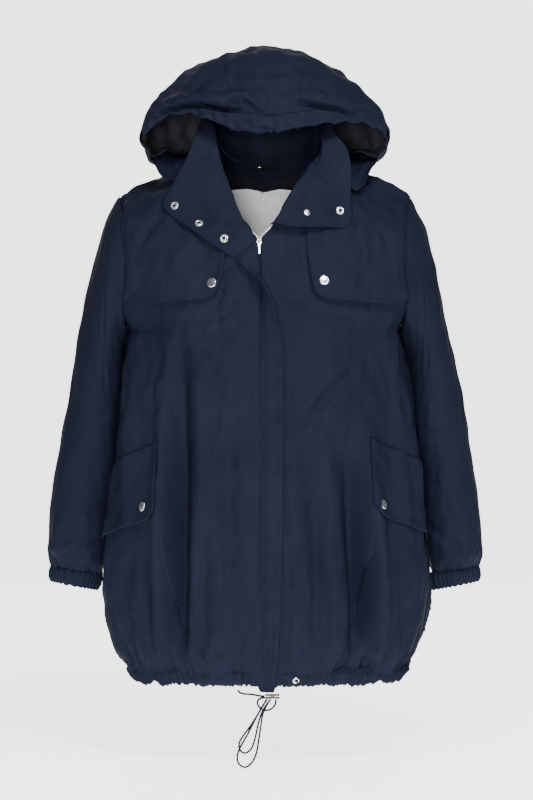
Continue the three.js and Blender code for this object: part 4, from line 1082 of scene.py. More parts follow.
NECK_OPENS = top_of(BACK) - 3
LOW_ROWS, NECK_ROWS = 160, 36
BACK_HALF = 86
rows = np.concatenate([np.linspace(1, NECK_OPENS, LOW_ROWS)[:-1],
                       np.linspace(NECK_OPENS, top_of(BACK), NECK_ROWS)])
half_columns = np.linspace(0, 1, BACK_HALF)
back_points = np.concatenate([
    body_point(BACK, RIGHT, half_columns[None, ::-1], rows[:, None]),
    body_point(BACK, LEFT, half_columns[None, :], rows[:, None]),
], axis=1)
grid = measured(back_points, BACK["face"])
relief = body_relief(back_points, BACK_CREASES, BACK_SEED)
for edge, seed in (("left", 63), ("right", 64)):
    relief += seam_dip(grid[edge], 0.7) + pucker(grid[edge], grid["bottom"], seed, 0.5)
high = np.broadcast_to(rows[:, None], relief.shape) - NECK_OPENS
neck_edge = np.abs(grid["left"] - grid["left"][:, BACK_HALF:BACK_HALF + 1])
relief = np.where(high > 0, np.minimum(relief, 0.6) * (1 - fading(neck_edge, 12)), relief)
cloth("back_panel", grid, relief, SHELL, ["back"], split=BACK_HALF,
      joined=LOW_ROWS)


# ---- Hem channels ------------------------------------------------------------
def channel_cloth(name, points, outward, nodes):
    grid = measured(points, outward)
    z = points[..., 2]
    phase, around = hem_phase(points)
    level = smooth_step(z, HEM_Z, CHANNEL_TOP_Z)
    strength = gather_strength(points, around)
    folds = hem_folds(phase, around)
    relief = strength * (3.0 * folds + 4.1 * ridged(line_of(around, 17, 13)) * level)
    relief += 1.5 * np.sin(np.pi * np.clip(level, 0, 1)) + 0.4 * line_of(around, 6, 15)
    relief -= 1.6 * (1 - smooth_step(z, HEM_Z, HEM_Z + 5))
    relief -= 2.6 * smooth_step(z, CHANNEL_TOP_Z - 0.5, CHANNEL_TOP_Z + 2)
    relief -= 9 * smooth_step(z, CHANNEL_TOP_Z, CHANNEL_TOP_Z + 7)
    scallops = 4.0 - 4.4 * lobes(phase + 0.7) - 1.8 * ridged(line_of(around, 8, 16))
    shift = np.zeros(points.shape)
    shift[..., 2] = (1 - level) * strength * scallops
    cloth(name, grid, relief, SHELL, nodes, shift=shift,
          wall=1.4)


CHANNEL_V = np.concatenate([np.linspace(0, 1, 15), [1.06, 1.14, 1.26]])[:, None]
for side_name, side in SIDES.items():
    start = float(zip_edge(side)(np.array([0.5]))[0])
    u = np.linspace(start, 1, 190)[None, :]
    channel_cloth(f"hem_channel_{side_name}_front", body_point(FRONT, side, u, CHANNEL_V), side,
                  [f"hem_channel_{side_name}"])
rear_points = both_halves(lambda side, u: body_point(BACK, side, u[None, :], CHANNEL_V), 380)
channel_cloth("hem_channel_rear", rear_points, BACK["face"], ["hem_channel_back"])


# ---- Sleeves -----------------------------------------------------------------
# Creases of a sleeve by its share round from the shoulder line down the front (in hundredths) and
# its distance from the armhole, on a sleeve 560 mm long, for the wearer's right and left.
SLEEVE_CREASES = {
    RIGHT: [
        (6, 2.0, [(22, 60), (26, 100), (30, 150), (34, 200)]),
        (5, 1.3, [(10, 20), (14, 70), (13, 130)]),
        (6, 1.5, [(38, 210), (30, 260), (22, 300)]),
        (6, 1.4, [(40, 300), (30, 345), (18, 380)]),
        (7, 3.4, [(3, 548), (12, 540), (22, 520), (34, 500), (42, 470)]),
        (5, 2.2, [(0, 520), (8, 532), (14, 560)]),
        (6, 1.9, [(44, 400), (34, 430), (24, 440)]),
        (5, 1.4, [(28, 470), (20, 500), (14, 530)]),
        (7, 1.6, [(8, 250), (12, 340), (10, 420)]),
    ],
    LEFT: [
        (6, 1.8, [(20, 50), (26, 110), (32, 170)]),
        (5, 1.3, [(10, 30), (12, 90), (16, 150)]),
        (6, 1.6, [(40, 240), (32, 290), (20, 330)]),
        (7, 3.2, [(46, 430), (36, 470), (24, 505), (16, 548)]),
        (5, 1.9, [(4, 500), (12, 524), (20, 548)]),
        (6, 1.7, [(42, 350), (32, 380), (20, 400)]),
        (5, 1.3, [(30, 440), (22, 452), (12, 450)]),
        (7, 1.6, [(10, 200), (8, 300), (12, 400)]),
    ],
}
REAR_CREASES = [
    (7, 2.4, [(60, 40), (66, 110), (72, 190)]),
    (7, 2.2, [(56, 240), (66, 290), (78, 330)]),
    (7, 2.0, [(58, 330), (70, 370), (84, 390)]),
    (6, 2.4, [(60, 470), (72, 500), (84, 540)]),
    (6, 1.8, [(88, 60), (84, 160), (90, 260)]),
    (6, 1.6, [(90, 400), (82, 470), (88, 530)]),
]
CUFF_GATHERS = 26
DRAWN_SLEEVE = 560
DRAWN_ROUND = 3.6


def cuff_phase(share, side):
    return 2 * np.pi * (CUFF_GATHERS * share + 0.28 * np.sin(2 * np.pi * 3 * share + side) +
                        0.2 * np.sin(2 * np.pi * 5 * share + 2))


for side_name, side in SIDES.items():
    share = np.linspace(0, 1, 129)[None, :]
    place = np.linspace(0, len(SLEEVE["mid"]), 176)[:, None]
    points = sleeve_point(side, share, place)
    points[:, -1] = points[:, 0]
    cuff_top = ring_point(CUFF, side, *np.broadcast_arrays(share, 0.28))
    inside = (cuff_top - cuff_top.mean(axis=1, keepdims=True)) * 0.93 + cuff_top.mean(axis=1, keepdims=True)
    tuck = np.linspace(0, 1, 9)[1:, None, None]
    points = np.concatenate([points, points[-1:] + (inside - points[-1:]) * tuck])
    grid = measured(points, side, closed=True)
    down = grid["bottom"]
    length = float(down[-1].mean())
    down = down * (length / down[-1:])
    around = np.broadcast_to(share, down.shape)
    total = np.zeros(down.shape)
    for width, depth, line in SLEEVE_CREASES[side] + REAR_CREASES:
        spot = [(a * DRAWN_ROUND, b / DRAWN_SLEEVE * length) for a, b in line]
        total += crease_field(around * 100 * DRAWN_ROUND, down, [(width, depth, spot)])
    near_cuff = fading(length - down, 26)
    phase = cuff_phase(around, side)
    turn = 2 * np.pi * around
    loop = np.stack([np.cos(turn) * 45, np.sin(turn) * 45, down * 0.42], axis=-1)
    tail = fading(length - down, 60)
    relief = total + 1.2 * ripple(loop, 70, 71 + side) + 0.45 * ripple(loop, 22, 73 + side)
    relief += 1.7 * near_cuff * (lobes(phase) - 0.5) + 2.0 * tail * ripple(loop, 26, 75 + side)
    relief *= smooth_step(down, 0, 26) * 0.85 + 0.15
    against = peak(around, 0.5, 0.1) * smooth_step(down, 0, 14) * smooth_step(length - down, 20, 90)
    relief = relief * (1 - 0.7 * against) + (6.5 + 3 * fading(down, 50)) * against
    relief += seam_dip(down, 0.5) + pucker(down, around * 420, 77 + side, 0.25, 11, 16)
    relief += 0.9 * peak(down, 9, 7) - 1.5 * fading(length - down, 2.5)
    cloth(f"sleeve_cloth_{side_name}", grid, relief, SHELL,
          [f"sleeve_{side_name}_upper", f"sleeve_{side_name}_lower"])

    place = np.linspace(0, 2, 15)[:, None]
    share = np.linspace(0, 1, 241)[None, :]
    points = ring_point(CUFF, side, *np.broadcast_arrays(share, place))
    points[:, -1] = points[:, 0]
    grid = measured(points, side, closed=True)
    around, level = np.broadcast_arrays(share, place / 2)
    phase = cuff_phase(around, side)
    wave = 0.75 + 0.3 * np.sin(2 * np.pi * 7 * around + side)
    relief = 2.5 * wave * (lobes(phase) - 0.5) + 1.5 * np.sin(np.pi * level) - 1.6 * (level > 0.97)
    relief -= 0.9 * peak(level, 0.5, 0.06)
    relief += 0.3 * np.sin(2 * np.pi * 61 * around + 9 * level)
    shift = np.zeros(points.shape)
    shift[..., 2] = (level - 0.45) * (-3.2 * lobes(phase + 0.5) + 1.2)
    cloth(f"cuff_cloth_{side_name}", grid, relief, SHELL, [f"cuff_{side_name}"],
          shift=shift, wall=1.3)


# ---- Hood --------------------------------------------------------------------
# Creases of the hood's front and crown, placed on a flat front view drawn from 4 m away.
CROWN_CREASES = [
    (3.6, 15, [(-176, 101), (-158, 107), (-136, 115), (-114, 117), (-91, 115), (-69, 110), (-47, 109),
               (-30, 108)]),
    (8, -7.5, [(-166, 116), (-136, 126), (-112, 128), (-88, 126), (-66, 124), (-52, 134), (-34, 134),
               (-10, 118)]),
    (3.4, 6.0, [(-64, 112), (-52, 122), (-41, 127), (-30, 120), (-18, 111), (-4, 105), (10, 102)]),
    (2.6, 2.2, [(7, 107), (12, 89), (15, 76)]),
    (3.2, 4.2, [(-186, 84), (-158, 98), (-138, 107), (-120, 111), (-102, 104), (-84, 94)]),
    (2.6, 2.8, [(-148, 96), (-129, 97), (-112, 101), (-100, 98)]),
    (2.6, 3.0, [(-34, 92), (-26, 88), (-18, 84)]),
    (2.6, 4.0, [(-18, 85), (-6, 80), (4, 77), (20, 75)]),
    (2.8, 2.4, [(-52, 99), (-40, 95), (-26, 92)]),
    (3.8, 10, [(34, 121), (50, 122), (66, 118), (84, 116), (104, 112), (118, 105), (132, 103), (150, 106)]),
    (9, -4.0, [(40, 134), (70, 130), (100, 124), (130, 114), (156, 112)]),
    (3.5, 2.0, [(64, 100), (84, 100), (108, 96), (130, 94)]),
    (3, 1.8, [(40, 88), (58, 92), (80, 90)]),
    (3, 1.6, [(20, 92), (30, 84), (44, 82)]),
    (3, 1.5, [(-54, 131), (-32, 132), (-8, 130)]),
    (4, 1.6, [(-74, 100), (-62, 94), (-52, 86)]),
    (7, 2.0, [(-70, 176), (-20, 166), (30, 170), (72, 178)]),
    (7, 1.8, [(66, 190), (80, 164), (92, 140)]),
    (7, 2.2, [(-142, 112), (-128, 130), (-108, 148), (-94, 160)]),
    (6, 1.8, [(-168, 92), (-158, 108), (-142, 126)]),
    (6, 1.6, [(168, 88), (158, 104), (140, 124)]),
    (7, 2.0, [(-84, 150), (-40, 144), (6, 152)]),
    (7, 1.8, [(20, 148), (60, 140), (96, 150)]),
    (5, 1.4, [(-40, 196), (-52, 170), (-58, 146)]),
]
LIP_CREASES = [
    (4, 3.1, [(-176, 44), (-164, 24), (-150, 6)]),
    (4, 2.9, [(-190, 48), (-180, 36), (-164, 30)]),
    (4, 3.1, [(176, 46), (160, 22), (146, -2)]),
    (4, 2.6, [(188, 50), (178, 34), (168, 28)]),
]
REAR_HOOD_CREASES = [
    (9, 4.7, [(-120, 62), (-60, 54), (0, 60), (58, 52), (118, 60)]),
    (8, 3.6, [(-90, 96), (-36, 88), (22, 94), (80, 88)]),
    (7, 2.7, [(-70, 132), (-20, 138), (46, 130)]),
    (6, 3.0, [(-150, 70), (-130, 100), (-120, 140)]),
    (6, 3.0, [(150, 72), (132, 98), (124, 136)]),
]


VIEW_DISTANCE, VIEW_HEIGHT = 4000, -343
VIEW_CENTRE, DRAWN_CENTRE = 3, 2
MOUTH_CORNER = 0.004


def hood_relief(points, row):
    front = smooth_step(row, 4.3, 5.6)
    x, z = points[..., 0], points[..., 2]
    away = 1 + points[..., 1] / VIEW_DISTANCE
    drawn_x = (x - VIEW_CENTRE) / away - DRAWN_CENTRE
    drawn_z = (z - VIEW_HEIGHT) / away + VIEW_HEIGHT
    total = front * crease_field(drawn_x, drawn_z, CROWN_CREASES)
    total += (1 - front) * smooth_step(row, 0.8, 2) * crease_field(x, z, REAR_HOOD_CREASES)
    total += (1 - smooth_step(row, 0.8, 1.6)) * crease_field(x, z, LIP_CREASES)
    total += 1.9 * ripple(points, 66, 81) + 0.8 * ripple(points, 24, 82)
    crumple = ripple(points, 32, 83)
    total -= 1.8 * np.exp(-np.abs(crumple) * 5) * smooth_step(ripple(points, 90, 84), -0.2, 0.9)
    gathers = line_of(x, 7, 85) + 0.6 * line_of(x, 4.4, 86)
    near_seam = fading(np.abs(row - CASING_ROW), 0.22)
    total += (1.1 * peak(x, 0, 42) + 0.12) * near_seam * gathers
    total -= 0.1 * peak(row, CASING_ROW, 0.03) + 0.7 * peak(row, 0.62, 0.05)
    return total


def over_the_head(start, columns, row):
    """Rows of points of the hood from its right side, at s = start, over the middle to its left."""
    return np.concatenate([
        hood_point(RIGHT, np.linspace(start, 1, columns)[None, :], row[:, None]),
        hood_point(LEFT, np.linspace(1, start, columns)[None, 1:], row[:, None]),
    ], axis=1)


def hood_rows(low, middle):
    """Rows from the lip over the crown to the casing."""
    return np.concatenate([np.linspace(0, 1, low)[:-1], np.linspace(1, 7, middle)[:-1],
                           np.linspace(7, CASING_ROW, 34)])


for side_name, side in SIDES.items():
    row = hood_rows(14, 52)
    s = np.linspace(MOUTH_CORNER, HOOD_SEAM, 104)
    grid = measured(hood_point(side, s[None, :], row[:, None]), side)
    rows_of = np.broadcast_to(row[:, None], grid["left"].shape)
    relief = hood_relief(grid["points"], rows_of)
    corner = smooth_step(grid["left"], 0, 16)
    relief = relief * (0.3 + 0.7 * corner)
    relief += pucker(grid["right"], grid["bottom"], 87 + side, 0.12)
    cloth(f"hood_side_panel_{side_name}", grid, relief, SHELL, [f"hood_side_{side_name}"],
          wall=1.2)

row = hood_rows(12, 60)
strip = over_the_head(HOOD_SEAM, 34, row)
grid = measured(strip, -1)
rows_of = np.broadcast_to(row[:, None], grid["left"].shape)
relief = hood_relief(strip, rows_of)
for edge, seed in (("left", 88), ("right", 86)):
    relief += pucker(grid[edge], grid["bottom"], seed, 0.12)
cloth("hood_centre_panel", grid, relief, SHELL, ["hood_centre"], wall=1.2)

row = np.linspace(CASING_ROW, BRIM_ROW, 20)
brim_points = over_the_head(MOUTH_CORNER, 120, row)
grid = measured(brim_points, -1)
along = grid["left"]
rows_of = np.broadcast_to(row[:, None], along.shape)
level = rows_of - CASING_ROW
relief = hood_relief(brim_points, rows_of) + 0.9 * np.sin(np.pi * np.clip(level, 0, 1))
relief += 0.7 * line_of(along, 26, 93)
relief -= 1.6 * smooth_step(level, 0.9, 1)
shift = np.zeros(brim_points.shape)
middle = peak(brim_points[..., 0], 0, 46)
shift[..., 2] = level * (1.2 * line_of(along, 38, 94) + (0.25 + 0.6 * middle) * line_of(along, 12, 95))
cloth("hood_brim_casing", grid, relief, SHELL, ["hood_brim"],
      shift=shift, wall=1.5)

row = np.linspace(1.02, CASING_ROW - 0.1, 66)
inside = over_the_head(0.03, 50, row)
grid = measured(inside, -1)
aside = smooth_step(np.abs(inside[..., 0]), 90, 150)
folds = 1.6 * line_of(inside[..., 0] + 0.2 * inside[..., 2], 34, 96) * aside
relief = -3.6 + folds * 0.7 - 0.6 * np.abs(ripple(inside, 46, 97))
outer = hood_relief(inside, np.broadcast_to(row[:, None], grid["left"].shape))
relief = np.minimum(relief, -2.8) + np.minimum(outer, 0)
cloth("hood_lining_cloth", grid, relief, LINING, ["hood_lining"])


# ---- Collar ------------------------------------------------------------------
# Creases of the collar by row (in tenths) and by share of the way from seam to edge (in hundredths).
COLLAR_CREASES = [
    (5, 2.2, [(30, 52), (38, 60), (44, 78)]),
    (5, 1.8, [(46, 48), (52, 60), (50, 86)]),
    (5, 2.3, [(58, 50), (64, 66), (66, 90)]),
    (4, 1.6, [(22, 60), (28, 74), (24, 92)]),
    (5, 4.0, [(132, 30), (137, 48), (142, 60)]),
    (5, 2.9, [(140, 48), (146, 60), (150, 80)]),
    (5, 1.8, [(152, 54), (160, 66), (168, 70)]),
    (5, 1.8, [(166, 50), (172, 62), (180, 84)]),
    (4, 1.6, [(174, 50), (182, 62), (186, 84)]),
    (6, 2.9, [(84, 20), (90, 34), (100, 38)]),
    (6, 2.7, [(100, 26), (108, 34), (118, 30)]),
    (5, 2.5, [(118, 20), (126, 30), (132, 34)]),
    (4, 2.2, [(70, 14), (76, 24), (82, 28)]),
]


def turned_edge(distance, stitched_at, dip, swell, swell_at, swell_width):
    """A folded, topstitched edge: thin at its very end and swollen inside its line of stitches."""
    rise = topstitch_dip(distance, stitched_at, dip) + swell * peak(distance, swell_at, swell_width)
    return rise - 0.9 * fading(distance, 0.7)


ROLL_FROM, ROLL_TO = ROLL - 0.1, ROLL + 0.2
place = np.linspace(0, len(COLLAR["fold"]) - 1, 300)
t = np.concatenate([np.linspace(0, ROLL_FROM, 14)[:-1], np.linspace(ROLL_FROM, ROLL_TO, 16)[:-1],
                    np.linspace(ROLL_TO, 1, 24)])
collar_points = collar_point(place[None, :], t[:, None])
grid = measured(collar_points, 1)
place_of, t_of = np.broadcast_arrays(place[None, :], t[:, None])
relief = crease_field(place_of * 10, t_of * 100, COLLAR_CREASES)
relief += 0.75 * ripple(collar_points, 52, 101) + 0.3 * ripple(collar_points, 20, 102)
relief *= 0.35 + 0.65 * smooth_step(grid["bottom"], 0, 14)
for edge in ("left", "right", "top"):
    relief += turned_edge(grid[edge], 7, 0.3, 0.3, 3, 2)
relief += pucker(grid["top"], grid["left"], 103, 0.35, 12, 8)
relief -= 2.6 * fading(grid["left"], 7)
cloth("collar_leaves", grid, relief, SHELL, ["collar"], wall=1.6)


# ---- Flaps, placket and zip --------------------------------------------------
STORM_BOTTOM = 10.52
STORM_TOP = 17.9
STORM_SIDE = 0.975
STORM_V = [STORM_BOTTOM, 10.7, 11, 12, 13, 14, 15, 16, 17, 18]
STORM_X = {
    RIGHT: [86, 74, 68, 62, 58, 62, 70, 84, 94, 98],
    LEFT: [92, 80, 72, 67, 63, 64, 70, 84, 94, 98],
}
FLAP_LIFT = 1.7
FLAP_WALL = 1.8
FLAP_GAPE = 7.0
GAPE_RISE = 1.2


def storm_lift(v):
    return FLAP_LIFT + FLAP_GAPE * np.maximum(0, 1 - (v - STORM_BOTTOM) / GAPE_RISE)


def storm_grid(side):
    v = np.concatenate([np.linspace(STORM_BOTTOM, 11, 14)[:-1], np.linspace(11, STORM_TOP, 50)])
    front = across(FRONT, v, np.interp(v, STORM_V, STORM_X[side]))
    u = front[:, None] + (STORM_SIDE - front)[:, None] * np.linspace(0, 1, 52)[None, :]
    grid = measured(body_point(FRONT, side, u, v[:, None]), side)
    return grid, np.broadcast_to(v[:, None], u.shape)


# How far each front edge curls up, how far in, and between which sections the curl starts and stops.
STORM_CURL = {RIGHT: (5.5, 7, (10.7, 11.4), (12.6, 13.6)), LEFT: (1.8, 6, (10.9, 12), (13, 14.5))}
for side_name, side in SIDES.items():
    grid, v = storm_grid(side)
    points = grid["points"]
    relief = storm_lift(v) + FLAP_WALL
    relief += smooth_step(grid["bottom"], 4, 20) * front_relief(points)
    relief += 0.5 * ripple(points, 40, 111 + side)
    relief += 1.1 * fading(grid["bottom"], 10) * line_of(grid["left"], 60, 113 + side)
    for edge in ("left", "bottom"):
        relief += turned_edge(grid[edge], 8, 0.35, 0.4, 4, 2.4)
    high, reach, starts, stops = STORM_CURL[side]
    curled = smooth_step(v, *starts) * (1 - smooth_step(v, *stops))
    relief += high * fading(grid["left"], reach) * curled
    relief += pucker(grid["right"], grid["bottom"], 41 + side, 0.25) - 2.4 * fading(grid["right"], 6)
    cloth(f"storm_flap_cloth_{side_name}", grid, relief, SHELL, [f"storm_flap_{side_name}"],
          wall=1.6)

POCKET = {
    RIGHT: {"x": 161, "top": -404, "front": -510, "corner": -524, "side_top": -452, "side_low": -562},
    LEFT: {"x": 154, "top": -399, "front": -496, "corner": -518, "side_top": -452, "side_low": -563},
}
POCKET_CREASES = {
    RIGHT: [
        (4, 1.2, [(-166, -424), (-176, -446), (-186, -480)]),
        (4, 0.9, [(-204, -456), (-196, -490), (-212, -530)]),
    ],
    LEFT: [
        (4, 2.2, [(160, -428), (168, -440), (180, -444)]),
        (4, 1.3, [(162, -452), (172, -470), (170, -492)]),
        (4, 0.9, [(204, -456), (210, -500), (224, -540)]),
    ],
}
POCKET_SIDE = 0.985
POCKET_ROUNDING = 0.07


def pocket_grid(side):
    cut = POCKET[side]
    c = np.linspace(0, 1, 34)[None, :]
    r = np.linspace(0, 1, 40)[:, None]
    low = np.interp(c, [0, POCKET_ROUNDING, 1], [cut["front"], cut["corner"], cut["side_low"]])
    high = cut["top"] + (cut["side_top"] - cut["top"]) * c
    z = low + (high - low) * r
    v = section_at(FRONT, 0.8, z)
    front = across(FRONT, v, cut["x"])
    u = front + (POCKET_SIDE - front) * c
    return measured(body_point(FRONT, side, u, v), side)


for side_name, side in SIDES.items():
    grid = pocket_grid(side)
    points = grid["points"]
    relief = FLAP_LIFT + FLAP_WALL + front_relief(points)
    relief += crease_field(points[..., 0], points[..., 2], POCKET_CREASES[side])
    relief += 0.4 * ripple(points, 30, 121 + side)
    for edge in ("left", "bottom", "top"):
        relief += turned_edge(grid[edge], 7, 0.35, 0.35, 3.5, 2.2)
    gape = 2.2 + 1.6 * np.clip(line_of(grid["left"], 70, 123 + side), -0.4, 1)
    relief += gape * fading(grid["bottom"], 9) + 2.4 * fading(grid["left"], 8)
    relief -= 2.4 * fading(grid["top"], 1.5) + 0.8 * fading(grid["right"], 2)
    cloth(f"pocket_flap_cloth_{side_name}", grid, relief, SHELL, [f"pocket_flap_{side_name}"],
          wall=1.6)

PLACKET_TOP_Z = -262
PLACKET_Z = [HEM_Z, -752, -725, -641, -560, -480, -388, -320, PLACKET_TOP_Z]
PLACKET_STITCHED = [-10, -9, -8, -7.5, -7.5, -7.5, -7.5, -7.5, -7.5]
PLACKET_FREE = [16, 18, 21, 25, 27, 28, 29, 29, 28]
PLACKET_END = (7, -6, 14)
PLACKET_TURN = table("in_x in_y in_z out_x out_y out_z", [
    (-8, -143.5, -232, 25, -150, -240),
    (-8, -141.5, -205, 20, -157, -212),
    (-8, -139.5, -182, 12, -161, -186),
    (-9, -137, -158, -3, -161, -160),
    (-10, -135.5, -134, -24, -149, -145),
    (-12, -139.5, -110, -38, -146, -135),
    (-13, -133, -95, -48, -134, -119),
])
PLACKET_CREASES = [
    (4, 1.0, [(24, -340), (16, -362), (6, -392)]),
    (4, 0.8, [(20, -430), (12, -452), (2, -470)]),
    (4, 0.9, [(22, -300), (12, -318), (4, -350)]),
    (4, 0.9, [(18, -590), (10, -612), (2, -640)]),
    (4, 0.8, [(16, -690), (8, -712), (0, -730)]),
]
share = np.linspace(0, 1, 15)
heights = np.concatenate([np.linspace(HEM_Z, -700, 40)[:-1], np.linspace(-700, PLACKET_TOP_Z, 150)])
stitched = np.interp(heights, PLACKET_Z, PLACKET_STITCHED)[:, None]
free = np.interp(heights, PLACKET_Z, PLACKET_FREE)[:, None]
flat, _ = on_fronts(stitched + (free - stitched) * share[None, :], heights[:, None], FLAP_LIFT)
drop, end_stitched, end_free = PLACKET_END
end_row = flat[:1].copy()
end_row[0, :, 0] = end_stitched + (end_free - end_stitched) * share
end_row[0, :, 2] -= drop
end_rows = end_row + (flat[:1] - end_row) * np.linspace(0, 1, 5)[:-1, None, None]
turn_place = np.linspace(0, len(PLACKET_TURN["in_x"]) - 1, 54)
turn_in, turn_out = (vectors_at(PLACKET_TURN, name, turn_place) for name in ("in", "out"))
turned = turn_in[:, None] + (turn_out - turn_in)[:, None] * share[None, :, None]
bridge = flat[-1:] + (turned[:1] - flat[-1:]) * np.linspace(0, 1, 14)[1:-1, None, None]
placket_points = np.concatenate([end_rows, flat, bridge, turned])
grid = measured(placket_points, 1)
z = placket_points[..., 2]
relief = 2.8 + 0.55 * line_of(grid["bottom"], 44, 131) + 0.3 * ripple(placket_points, 16, 132)
relief += crease_field(placket_points[..., 0], z, PLACKET_CREASES)
relief += 0.9 * fading(grid["right"], 8) * line_of(grid["bottom"], 90, 133)
relief += 0.5 * peak(grid["right"], 5, 4) - 0.9 * fading(grid["right"], 0.7)
relief += 2.2 * fading(grid["right"], 9) * smooth_step(z, HEM_Z, -740)
relief -= 4.6 * (1 - smooth_step(grid["left"], 0, 15))
relief += 0.7 * peak(z, CHANNEL_TOP_Z + 26, math.sqrt(500)) * line_of(grid["left"], 8, 134)
cloth("placket_strip", grid, relief, SHELL, ["placket"],
      wall=2.0)

TAPE_BOTTOM, TAPE_TOP, TAPE_DEPTH = -772, -112, 3.2
for side_name, (start, end) in {"right": (-14, -1.6), "left": (1.6, 14)}.items():
    z = np.linspace(TAPE_BOTTOM, TAPE_TOP, 150)[:, None]
    x = np.interp(z, ZIP_Z, ZIP_X) + np.linspace(start, end, 6)[None, :]
    tape_points, _ = on_fronts(x, np.broadcast_to(z, x.shape), -TAPE_DEPTH)
    grid = measured(tape_points, 1)
    relief = 0.12 * line_of(grid["bottom"], 15, 141)
    cloth(f"zip_tape_cloth_{side_name}", grid, relief, TAPE, [f"zip_tape_{side_name}"],
          wall=0.7)


# ---- Inside the neck ---------------------------------------------------------
n = np.linspace(-1, 1, 60)
edge_v = NECK_OPENS + 2 * np.abs(n)
neck = np.where(n[:, None] < 0, body_point(BACK, RIGHT, 0, edge_v), body_point(BACK, LEFT, 0, edge_v))
for _ in range(14):
    neck[1:-1] = (neck[:-2] + 2 * neck[1:-1] + neck[2:]) / 4
level = np.linspace(0, 1, 8)[:, None, None]
down = level - 0.65 * np.abs(n)[None, :, None] * (1 - level)
TAPE_FACES = np.array([0, -0.87, -0.5])
tape_points = neck[None] + TAPE_FACES * 5 + down * np.array([0, 7.5, -13]) - np.array([0, 0, 1])
grid = measured(tape_points, -1)
grid["normals"] = np.broadcast_to(TAPE_FACES, tape_points.shape).copy()
grid["outward"] = 1
cloth("neck_tape_cloth", grid, 0.2 * line_of(grid["left"], 12, 151), TAPE, ["neck_tape"],
      wall=0.8)

LINING_SIDE = 0.985
v = np.linspace(9.5, 15.8, 64)[:, None]
lining_points = both_halves(lambda side, u: body_point(BACK, side, u[None, :] * LINING_SIDE, v), 84)
grid = measured(lining_points, BACK["face"])
relief = -3.8 - 0.5 * np.abs(ripple(lining_points, 60, 161)) - 0.3 * ripple(lining_points, 30, 162)
relief += np.minimum(body_relief(lining_points, BACK_CREASES, BACK_SEED), 0)
cloth("back_lining_cloth", grid, relief, JERSEY, ["back_lining"])


# ---- Stitches ----------------------------------------------------------------
STITCH_PITCH = 3.4
STITCH_LENGTH = 2.5
STITCH_WIDTH = 0.55


def stitch_shape():
    """One stitch along X: a small spindle, as (points, faces)."""
    shape = bmesh.new()
    bmesh.ops.create_uvsphere(shape, u_segments=4, v_segments=3, radius=1.0)
    points = np.array([v.co[:] for v in shape.verts])
    faces = [[v.index for v in face.verts] for face in shape.faces]
    shape.free()
    return points[:, [2, 0, 1]] * np.array([STITCH_LENGTH, STITCH_WIDTH, STITCH_WIDTH]) / 2, faces


STITCH_POINTS, STITCH_FACES = stitch_shape()


def place_stitches(line, facing):
    """Points of evenly spaced stitches along a line that lies on cloth with the given normals."""
    lengths = np.concatenate([[0], np.cumsum(np.linalg.norm(np.diff(line, axis=0), axis=1))])
    count = int(lengths[-1] / STITCH_PITCH)
    if count < 1:
        return np.zeros((0, len(STITCH_POINTS), 3))
    middle = (np.arange(count) + 0.5) * lengths[-1] / count

    def at(vectors, places):
        return np.stack([np.interp(places, lengths, vectors[:, k]) for k in range(3)], axis=-1)

    spot = at(line, middle)
    along = unit(at(line, middle + 1) - at(line, middle - 1))
    out = unit(at(facing, middle))
    beside = unit(np.cross(out, along))
    out = np.cross(along, beside)
    frame_of = np.stack([along, beside, out], axis=1)
    return np.einsum("pk,skj->spj", STITCH_POINTS, frame_of) + (spot + out * 0.12)[:, None]


def line_at(surface, edge, distance):
    """The line on a finished piece that runs beside one of its edges, at a distance from it."""
    final, facing, measure = surface["final"], surface["facing"], surface[edge]
    if edge in ("left", "right"):
        measure, final, facing = measure.T, final.swapaxes(0, 1), facing.swapaxes(0, 1)
    falling = measure[0].mean() > measure[-1].mean()
    if falling:
        measure, final, facing = measure[::-1], final[::-1], facing[::-1]
    index = np.clip((measure < distance).sum(axis=0), 1, len(measure) - 1)
    c = np.arange(measure.shape[1])
    low, high = measure[index - 1, c], measure[index, c]
    t = np.clip((distance - low) / np.maximum(high - low, 1e-6), 0, 1)[:, None]
    return (final[index - 1, c] * (1 - t) + final[index, c] * t,
            facing[index - 1, c] * (1 - t) + facing[index, c] * t)


def stitch_rows(name, runs):
    """One mesh of all the stitches of a piece. Each run is (surface, edge, distance, start, end)."""
    blocks = []
    for surface_name, edge, distance, start, end in runs:
        line, facing = line_at(SURFACES[surface_name], edge, distance)
        size = len(line)
        low, high = int(size * start), max(int(size * end), int(size * start) + 2)
        blocks.append(place_stitches(line[low:high], facing[low:high]))
    points = np.concatenate(blocks)
    count, each = points.shape[:2]
    mesh = bpy.data.meshes.new(name)
    faces = [[index + k * each for index in face] for k in range(count) for face in STITCH_FACES]
    mesh.from_pydata((points * MM).reshape(-1, 3).tolist(), [], faces)
    shade_smooth(mesh)
    weave = mesh.uv_layers.new(name="weave")
    corner = np.empty(len(mesh.loops), int)
    mesh.loops.foreach_get("vertex_index", corner)
    flat = np.tile(STITCH_POINTS[:, :2], (count, 1)) * MM
    weave.uv.foreach_set("vector", flat[corner].ravel())
    return finished(name, mesh, THREAD)


